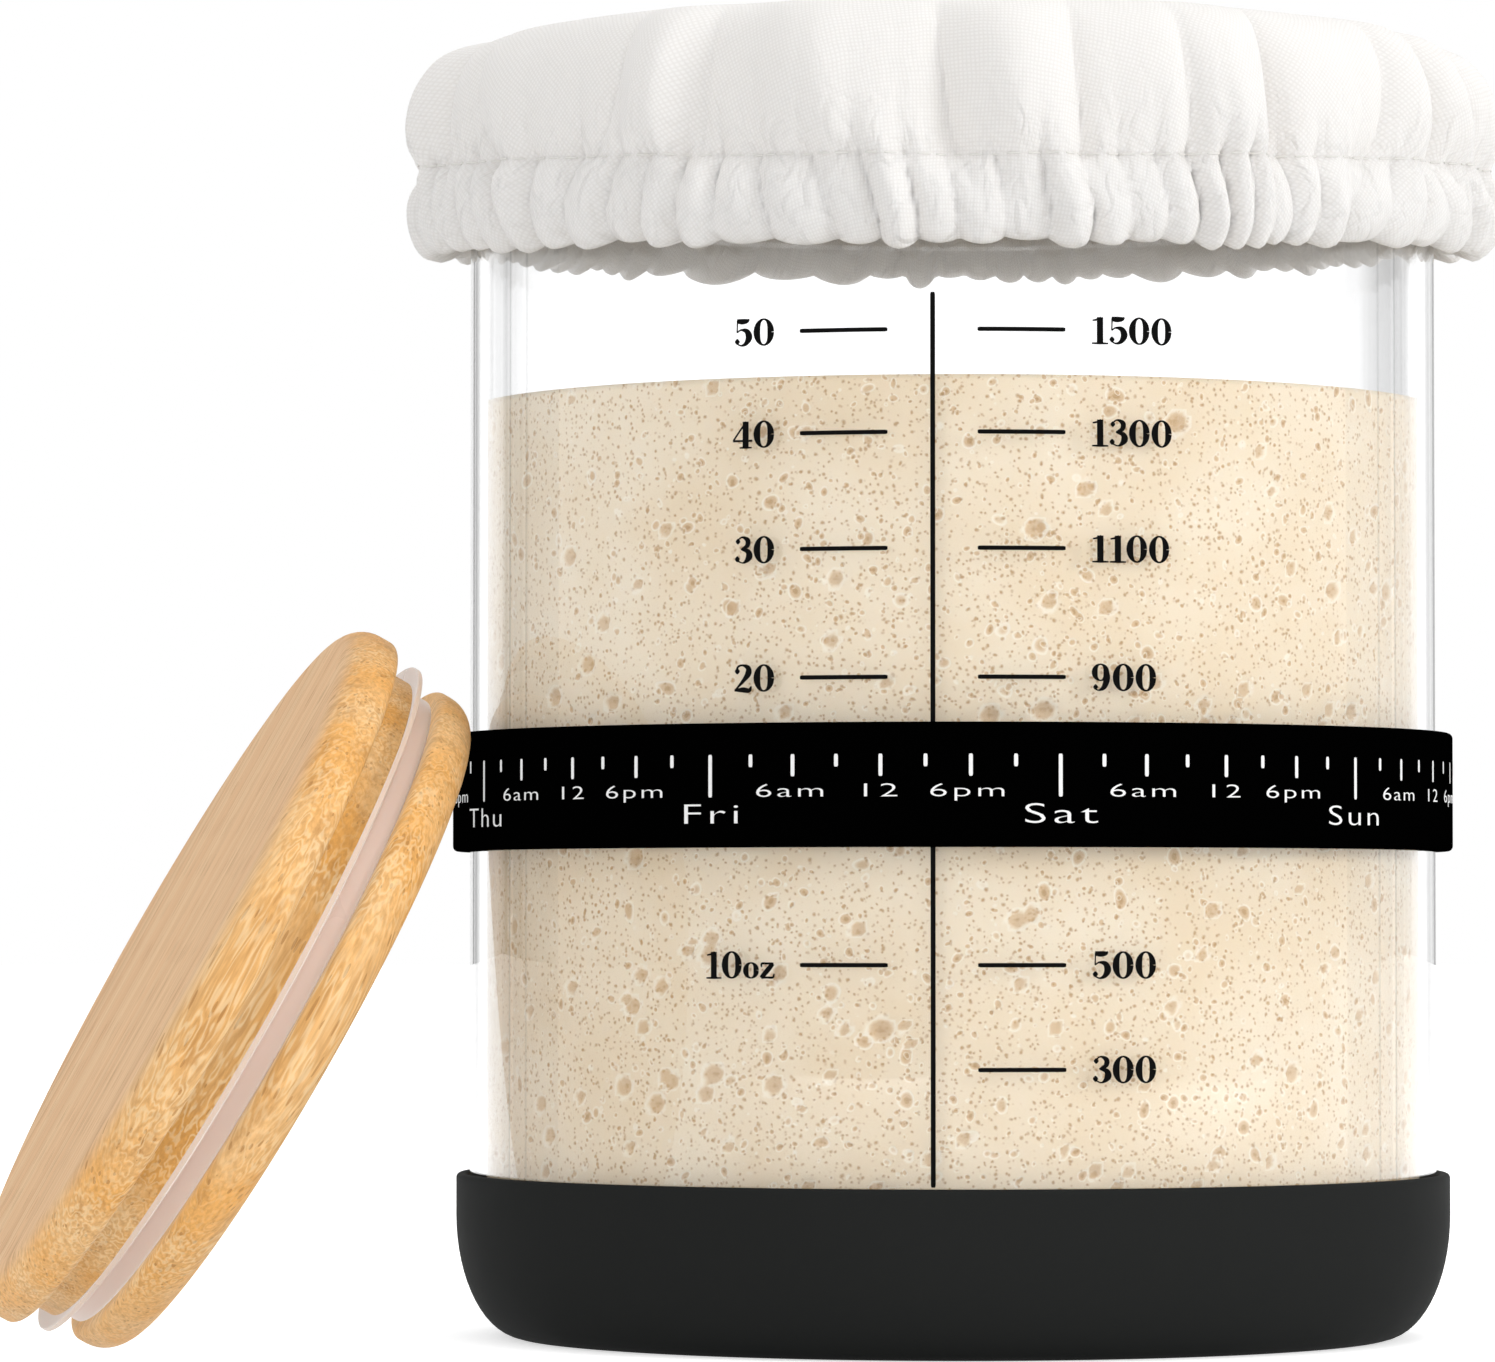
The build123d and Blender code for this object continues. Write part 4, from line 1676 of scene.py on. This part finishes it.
@dataclass
class Cover:
    """The gathered cotton cover: one round of cloth, stitched into a casing that its elastic draws in."""

    columns: int = 720
    top_rows: int = 6
    upper_rows: int = 32
    casing_rows: int = 26
    gathers: int = 80
    crest_range: Place = (-0.45, 1.3)
    tucks: int = 27
    seed: int = 5
    # How unevenly the gathers run round: waves round the jar and their strengths
    unevenness: tuple[tuple[int, float], ...] = ((3, 0.16), (7, 0.2), (11, 0.16), (17, 0.12))
    # The cloth's path from the middle of the top to its folded-in edge: radius and height, in mm
    path: Places = (
        (0.0, 174.0), (20.0, 173.9), (40.0, 173.7), (52.0, 173.5), (60.0, 173.2), (64.5, 172.6),
        (67.6, 171.1), (69.4, 168.8), (70.5, 166.0), (70.9, 163.0), (70.8, 160.0), (70.4, 157.0),
        (71.2, 155.2), (72.2, 152.6), (72.4, 149.8), (71.6, 147.4), (70.0, 145.9), (68.4, 146.2),
        (67.4, 147.6), (66.9, 150.0), (66.8, 153.0), (66.9, 155.6),
    )
    stitch_place: Place = (70.4, 157.0)
    flat_reach: float = 60.0 * MM
    level_reach: float = 64.0 * MM
    top_reach: float = 52.0 * MM
    front_drop: float = 4.7 * MM
    back_rise: float = 2.4 * MM
    gather_depth: float = 1.1 * MM
    casing_depth: float = 1.3 * MM
    tuck_depth: float = 2.3 * MM
    broad_depth: float = 1.9 * MM
    hem_sag: float = 0.8 * MM
    seam_groove: float = 0.4 * MM
    first_start: float = math.radians(46.0 - 17.0 * 90.0)
    second_start: float = math.radians(115.0 - 11.0 * 90.0)
    slant: float = 0.2
    # In mm along the cloth from the stitching: how fast gathers fade above it, where tucks and broad waves
    # end above it, how long the casing's swell is, and where its folded-in edge flattens
    gather_fade: float = 4.0
    tuck_end: Place = (15.0, 23.0)
    broad_end: Place = (17.0, 27.0)
    swell_length: float = 13.0
    folded_edge: Place = (12.0, 18.0)
    clear_radius: float = 65.7 * MM
    thickness: float = 0.35 * MM
    stitch_pitch: float = 2.6 * MM
    stitch_length: float = 1.8 * MM
    stitch_width: float = 0.34 * MM

    def guide(self) -> tuple[np.ndarray, np.ndarray, int]:
        """Sample the path: a few rows over the top, then even rows down to the stitching and on to the edge.

        Returns:
            Rows of radius and height, the distance of each from the middle along the path, and the row of
            the stitching.
        """
        places = Stroke(self.path, tuple(1.0 for _ in self.path)).sampled(12)[0] * MM
        steps = np.append(0.0, np.cumsum(np.linalg.norm(np.diff(places, axis=0), axis=1)))
        stitched = steps[np.argmin(np.linalg.norm(places - np.array(self.stitch_place) * MM, axis=1))]
        top = np.linspace(0.0, self.top_reach, self.top_rows + 1)[1:]
        upper = np.linspace(top[-1], stitched, self.upper_rows + 1)[1:]
        casing = np.linspace(stitched, steps[-1], self.casing_rows + 1)[1:]
        reach = np.concatenate([top, upper, casing])
        rows = np.column_stack([np.interp(reach, steps, places[:, 0]), np.interp(reach, steps, places[:, 1])])
        return rows, reach, self.top_rows + self.upper_rows - 1

    def gathered(self) -> tuple[np.ndarray, np.ndarray, int]:
        """Shape the first, gathered cloth and work out its flat cut.

        The smooth surface is the path turned about Z and lowered at the front. The flat cut keeps its
        lengths down the cloth, so all the spare width lies round it. Gathers push its points out and in:
        their phase runs unevenly round, their crests are broad and their creases narrow,
        (1 + c) |sin(p/2)|^0.65 - 1, with a height c drawn for each gather. Above the stitching they fade
        into uneven tucks, 1 - 2 |sin(q/2)|^0.8, and broad waves, all of which lean.

        Returns:
            The points, the flat places as grids of rows and columns, and the row of the stitching.
        """
        rows, reach, stitch_row = self.guide()
        stitched = reach[stitch_row]
        below, above = np.clip([reach - stitched, stitched - reach], 0.0, None)[:, :, None] / MM
        is_above = (reach < stitched)[:, None]
        chance = np.random.default_rng(self.seed)
        angle = np.arange(self.columns) * (math.tau / self.columns)
        uneven = angle.copy()
        swell = np.ones(self.columns)
        for wave, strength in self.unevenness:
            uneven += strength / wave * np.sin(wave * angle + chance.uniform(0.0, math.tau))
            swell += 0.16 * np.sin((wave + 1) * angle + chance.uniform(0.0, math.tau))
        calm = 0.6 + 0.4 * swell
        lean_way = 0.45 + 0.8 * np.sin(5.0 * angle + 1.3) + 0.7 * np.sin(8.0 * angle + 4.0)
        lean = (above * np.exp(-above / 16.0) - 1.4 * np.minimum(below, 9.0)) * lean_way * self.slant

        phase = self.gathers * uneven + lean
        crests = chance.uniform(*self.crest_range, self.gathers)
        crest = crests[np.floor(phase / math.tau).astype(int) % self.gathers]
        lobes = ((1.0 + crest) * np.abs(np.sin(phase / 2.0)) ** 0.65 - 1.0) * calm
        casing_swell = np.sin(np.clip(below / self.swell_length, 0.0, 1.0) * math.pi)
        casing = self.gather_depth + (self.casing_depth - self.gather_depth) * casing_swell
        casing *= 1.0 - 0.7 * smooth_step(below, *self.folded_edge)
        lobe_depth = np.where(is_above, self.gather_depth * np.exp(-above / self.gather_fade), casing)

        tuck_phase = self.tucks * (angle + 0.7 * (uneven - angle)) + lean
        strong = 0.75 + 0.7 * np.sin(6.0 * angle + 0.4) * np.sin(4.0 * angle + 2.2) + 0.45 * (swell - 1.0)
        tucks = (1.0 - 2.0 * np.abs(np.sin(tuck_phase / 2.0 + 0.6)) ** 0.8) * np.clip(strong, 0.15, 1.5)
        climb = 0.35 + above / 7.0
        rise = climb * np.exp(1.0 - climb) * (1.0 - smooth_step(above, *self.tuck_end))
        tuck_depth = self.tuck_depth * np.where(is_above, rise, rise[stitch_row] * np.exp(-below / 5.0))

        leaning = angle + 0.06 * lean
        broad = 0.62 * np.sin(17.0 * leaning + self.first_start)
        broad = (broad + 0.5 * np.sin(11.0 * leaning + self.second_start)) * calm
        hump = (0.25 + above / 8.0) * np.exp(1.0 - above / 8.0) * (1.0 - smooth_step(above, *self.broad_end))
        broad_depth = self.broad_depth * np.where(is_above, hump, 0.25 * math.e * np.exp(-below / 2.0))

        radius, turn = np.meshgrid(rows[:, 0], angle, indexing="ij")
        front = np.cos(turn)
        middle, tilt = 0.5 * (self.front_drop - self.back_rise), 0.5 * (self.front_drop + self.back_rise)
        drop = smooth_step(reach, self.level_reach, stitched)[:, None] * (tilt * front + middle * front**2)
        sag = self.hem_sag * np.exp(-(((below - 12.0) / 4.0) ** 2))
        height = rows[:, 1][:, None] - drop - sag * lobes
        upright = TurningAxis.upright()
        smooth = upright.place(radius, turn, height)
        pole = np.full((1, self.columns, 3), (0.0, 0.0, rows[0, 1]))
        down = np.linalg.norm(np.diff(np.concatenate([pole, smooth]), axis=0), axis=2)
        flat = upright.place(np.cumsum(down, axis=0), turn, np.zeros_like(turn))

        patches = 0.5 * np.sin(13.0 * angle + 0.9) * np.cos(below / 4.5)
        patches = patches + 0.35 * np.sin(23.0 * angle - below / 3.0)
        lobes = lobes * (1.0 + np.where(is_above, 0.0, smooth_step(below, 0.0, 3.0)) * patches)
        push = lobe_depth * lobes - tuck_depth * tucks + broad_depth * broad
        push -= self.seam_groove * np.exp(-(((above + below) / 0.9) ** 2))
        return upright.place(radius + push, turn, height), flat, stitch_row

    def build(self, finishes: Finishes) -> None:
        """Make the cloth and its stitches.

        Args:
            finishes: the object's materials.
        """
        grid, flat_grid, stitch_row = self.gathered()
        row_count = len(grid)
        pole_index = row_count * self.columns
        columns = np.arange(self.columns)
        points = np.vstack([grid.reshape(-1, 3), (0.0, 0.0, self.path[0][1] * MM)])
        flat = np.vstack([flat_grid.reshape(-1, 3), np.zeros(3)])
        fan = np.column_stack([np.full(self.columns, pole_index), columns, (columns + 1) % self.columns])
        faces = grid_faces(row_count, self.columns, False, True)[:, ::-1].tolist() + fan.tolist()
        reaches = np.linalg.norm(flat_grid, axis=2)
        top_held = int(np.argmin(np.abs(reaches[:, 0] - self.flat_reach)))
        held = np.concatenate([
            np.arange(top_held * self.columns),
            stitch_row * self.columns + columns,
            (row_count - 1) * self.columns + columns,
            [pole_index],
        ])
        points = ClothSettling().settle(points, flat, faces, held)
        points = self.kept_clear(points)
        cloth = mesh_object("cotton_cover", points, faces)
        set_vertex_uv(cloth, flat[:, :2])
        beyond = (reaches - reaches[stitch_row]).ravel() / MM
        puckered = np.where(beyond < 0.0, np.exp(beyond / 6.0), 0.75)
        set_point_attribute(cloth, "puckered", np.append(puckered, 0.0))
        thick = cloth.modifiers.new("cloth_thickness", "SOLIDIFY")
        thick.thickness = self.thickness
        thick.offset = -1.0
        dress(cloth, finishes.cotton, Body.COVER, Slot.COTTON, "cover_cloth")
        self.stitches(points[stitch_row * self.columns:(stitch_row + 1) * self.columns], finishes)

    def kept_clear(self, points: np.ndarray) -> np.ndarray:
        """Push points that came too near the glass back out to a clear radius.

        Args:
            points: the cloth's points.

        Returns:
            The moved points.
        """
        radius = np.hypot(points[:, 0], points[:, 1])
        near = (radius < self.clear_radius) & (points[:, 2] < 160.0 * MM)
        moved = points.copy()
        moved[near, :2] *= (self.clear_radius / radius[near])[:, None]
        return moved

    def stitches(self, row: np.ndarray, finishes: Finishes) -> None:
        """Lay short rounded stitches end to end along a closed row of the cloth.

        A stitch is a row of six-sided rings: middle + place along it + width (out cos a + side sin a).

        Args:
            row: the row's points.
            finishes: the object's materials.
        """
        closed = np.vstack([row, row[:1]])
        along = np.append(0.0, np.cumsum(np.linalg.norm(np.diff(closed, axis=0), axis=1)))
        count = int(along[-1] / self.stitch_pitch)
        middles = (np.arange(count) + 0.5) * along[-1] / count
        half, thick = self.stitch_length / 2.0, self.stitch_width / 2.0
        first, middle, last = (
            np.column_stack([np.interp(middles + shift, along, closed[:, axis]) for axis in range(3)])
            for shift in (-half, 0.0, half)
        )
        ahead = last - first
        ahead /= np.linalg.norm(ahead, axis=1)[:, None]
        out = np.cross(ahead, (0.0, 0.0, 1.0))
        out *= np.sign(np.sum(out * middle * (1.0, 1.0, 0.0), axis=1))[:, None]
        out /= np.linalg.norm(out, axis=1)[:, None]
        side = np.cross(out, ahead)
        places = np.array([-1.0, -0.9, -0.5, 0.5, 0.9, 1.0])
        widths = np.array([0.25, 0.75, 1.0, 1.0, 0.75, 0.25])
        sides = 6
        turn = np.arange(sides) * math.tau / sides
        reach = (places * half)[None, :, None, None] * ahead[:, None, None, :]
        round_part = np.cos(turn)[:, None] * out[:, None, None, :]
        round_part = round_part + np.sin(turn)[:, None] * side[:, None, None, :]
        points = middle[:, None, None, :] + reach + (widths * thick)[None, :, None, None] * round_part
        points += 0.3 * thick * out[:, None, None, :]
        each = len(places) * sides
        one = grid_faces(len(places), sides, False, True).tolist()
        one += [list(range(sides))[::-1], list(range(each - sides, each))]
        faces = [[index * each + corner for corner in face] for index in range(count) for face in one]
        stitches = mesh_object("casing_stitches", points.reshape(-1, 3), faces)
        face_outwards(stitches)
        dress(stitches, finishes.thread, Body.COVER, Slot.COTTON)


@dataclass(frozen=True)
class Panel:
    """A grey panel beside the set, seen only in reflections or through the edge of the glass.

    It stands between two bearings, in degrees to the right of straight behind the jar, and its brightness
    runs from one level to another.
    """

    start: float
    end: float
    first_level: float
    last_level: float


MIRRORED_PANELS = (
    Panel(-69.5, -54.8, 0.85, 0.7),
    Panel(-54.8, -54.0, 0.1, 0.1),
    Panel(-54.0, -47.6, 0.6, 0.55),
    Panel(-46.6, -45.6, 0.0, 0.0),
    Panel(-45.6, -41.0, 0.6, 0.8),
    Panel(-17.8, -14.6, 0.25, 0.25),
    Panel(9.0, 16.5, 0.6, 0.5),
    Panel(42.0, 46.0, 0.6, 0.7),
    Panel(50.0, 60.0, 0.85, 1.0),
)
EDGE_PANELS = (
    Panel(-19.0, -8.5, 0.45, 0.45),
    Panel(-8.5, -7.0, 0.75, 0.9),
    Panel(7.0, 13.0, 0.92, 0.6),
    Panel(19.0, 22.0, 0.7, 0.7),
)


@dataclass
class Studio:
    """The camera at the photograph's viewpoint, a pale floor, soft lamps and a white surround."""

    eye: Spot = (-27.6 * MM, -993.0 * MM, 55.9 * MM)
    focal_pixels: float = 7356.0
    frame_width: float = 1495.0
    frame_height: float = 1362.0
    horizon_row: float = 920.0
    sensor: float = 36.0
    floor_reach: float = 8.0
    floor_glow: float = 0.6
    fill: float = 0.72
    seam: float = 0.0004
    # Each lamp's name, place, size and power in watts
    lamps: tuple[tuple[str, Spot, Place, float], ...] = (
        ("key_right", (1.45, -0.75, 0.5), (0.5, 0.5), 9.0),
        ("front_soft", (-0.6, -1.6, 0.22), (1.0, 0.4), 4.5),
        ("top_soft", (0.2, -0.1, 1.4), (1.0, 1.0), 5.0),
    )

    def camera(self) -> None:
        """Place the camera, pitched up so that the horizon falls on its row of the frame."""
        data = bpy.data.cameras.new("camera")
        data.sensor_width = self.sensor
        data.lens = self.sensor * self.focal_pixels / self.frame_width
        data.clip_start, data.clip_end = 0.01, 50.0
        camera = place_object("camera", data)
        camera.location = self.eye
        pitch = math.atan((self.horizon_row - self.frame_height / 2.0) / self.focal_pixels)
        camera.rotation_euler = (math.pi / 2 + pitch, 0.0, 0.0)
        bpy.context.scene.camera = camera

    def floor(self) -> None:
        """Lay the floor, white to the camera, in mirrors and through glass, with a shadow on it."""
        corners = np.array([(-1.0, -1.0, 0.0), (1.0, -1.0, 0.0), (1.0, 1.0, 0.0), (-1.0, 1.0, 0.0)])
        floor = mesh_object("studio_floor", corners * self.floor_reach, [[0, 1, 2, 3]])
        paint = Paint("pale_floor")
        path = paint.add("LightPath").outputs
        seen = paint.math("MAXIMUM", path["Is Camera Ray"], path["Is Glossy Ray"])
        seen = paint.math("MAXIMUM", seen, path["Is Transmission Ray"])
        glowing = paint.get("Emission", {"Strength": paint.math("MULTIPLY", seen, self.floor_glow)})
        floor.data.materials.append(paint.finished(
            {"Base Color": (0.9, 0.9, 0.9), "Roughness": 1.0, "Specular IOR Level": 0.0},
            paint.get("AddShader", {0: paint.principled.outputs[0], 1: glowing}),
        ))

    def panel_stops(self, panels: tuple[Panel, ...]) -> Stops:
        """Turn panels into a ramp's stops, white between them.

        Args:
            panels: the panels, from left to right.

        Returns:
            Places from 0 to 1 once round, and levels.
        """
        stops = [(0.0, 1.0)]
        for panel in panels:
            start, end = panel.start / 360.0 + 0.5, panel.end / 360.0 + 0.5
            if start - stops[-1][0] > self.seam:
                stops.append((start - self.seam, 1.0))
            stops += [(start, panel.first_level), (end - self.seam, panel.last_level), (end, 1.0)]
        return tuple(stop for stop, after in zip(stops, stops[1:] + [(2.0, 1.0)]) if after[0] > stop[0])

    def world(self) -> None:
        """Surround the object with an even soft light that looks white where it is seen."""
        world = bpy.data.worlds.new("studio")
        bpy.context.scene.world = world
        world.use_nodes = True
        tree = NodeTree(world.node_tree)
        towards = tree.add("SeparateXYZ", {0: tree.get("TexCoord", output="Generated")}).outputs
        bearing = tree.math("ARCTAN2", towards[0], towards[1])
        once_round = tree.math("MULTIPLY_ADD", bearing, 1.0 / math.tau, 0.5)
        path = tree.add("LightPath").outputs
        strength = tree.math("MULTIPLY_ADD", path["Is Camera Ray"], 1.0 - self.fill, self.fill)
        for ray, panels in (("Is Glossy Ray", MIRRORED_PANELS), ("Is Transmission Ray", EDGE_PANELS)):
            change = tree.math("SUBTRACT", tree.ramp(once_round, *self.panel_stops(panels)), self.fill)
            strength = tree.math("MULTIPLY_ADD", path[ray], change, strength)
        tree.fill(world.node_tree.nodes["Background"], {"Strength": strength, "Color": (1.0, 1.0, 1.0)})

    def lamp(self, name: str, place: Spot, size: Place, power: float) -> None:
        """Hang a soft rectangular lamp that faces the jar's middle.

        Args:
            name: the lamp's name.
            place: where it hangs.
            size: its width and height.
            power: its power in watts.
        """
        data = bpy.data.lights.new(name, "AREA")
        data.shape = "RECTANGLE"
        data.size, data.size_y = size
        data.energy = power
        lamp = place_object(name, data)
        lamp.location = place
        lamp.rotation_mode = "QUATERNION"
        lamp.rotation_quaternion = (Vector((0.0, 0.0, 0.08)) - Vector(place)).to_track_quat("-Z", "Y")
        lamp.visible_glossy = False
        lamp.visible_transmission = False

    def build(self) -> None:
        """Set up the whole studio."""
        bpy.context.scene.view_settings.view_transform = "Standard"
        self.camera()
        self.floor()
        self.world()
        for lamp in self.lamps:
            self.lamp(*lamp)


def main() -> None:
    """Build the studio and the object."""
    logging.basicConfig(level=logging.INFO)
    Studio().build()
    finishes = Finishes()
    glass = GlassJar()
    for piece in (glass, VolumeScale(glass), Starter(glass), Sleeve(glass), WeekBand(), Lid(), Cover()):
        piece.build(finishes)


if __name__ == "__main__":
    main()
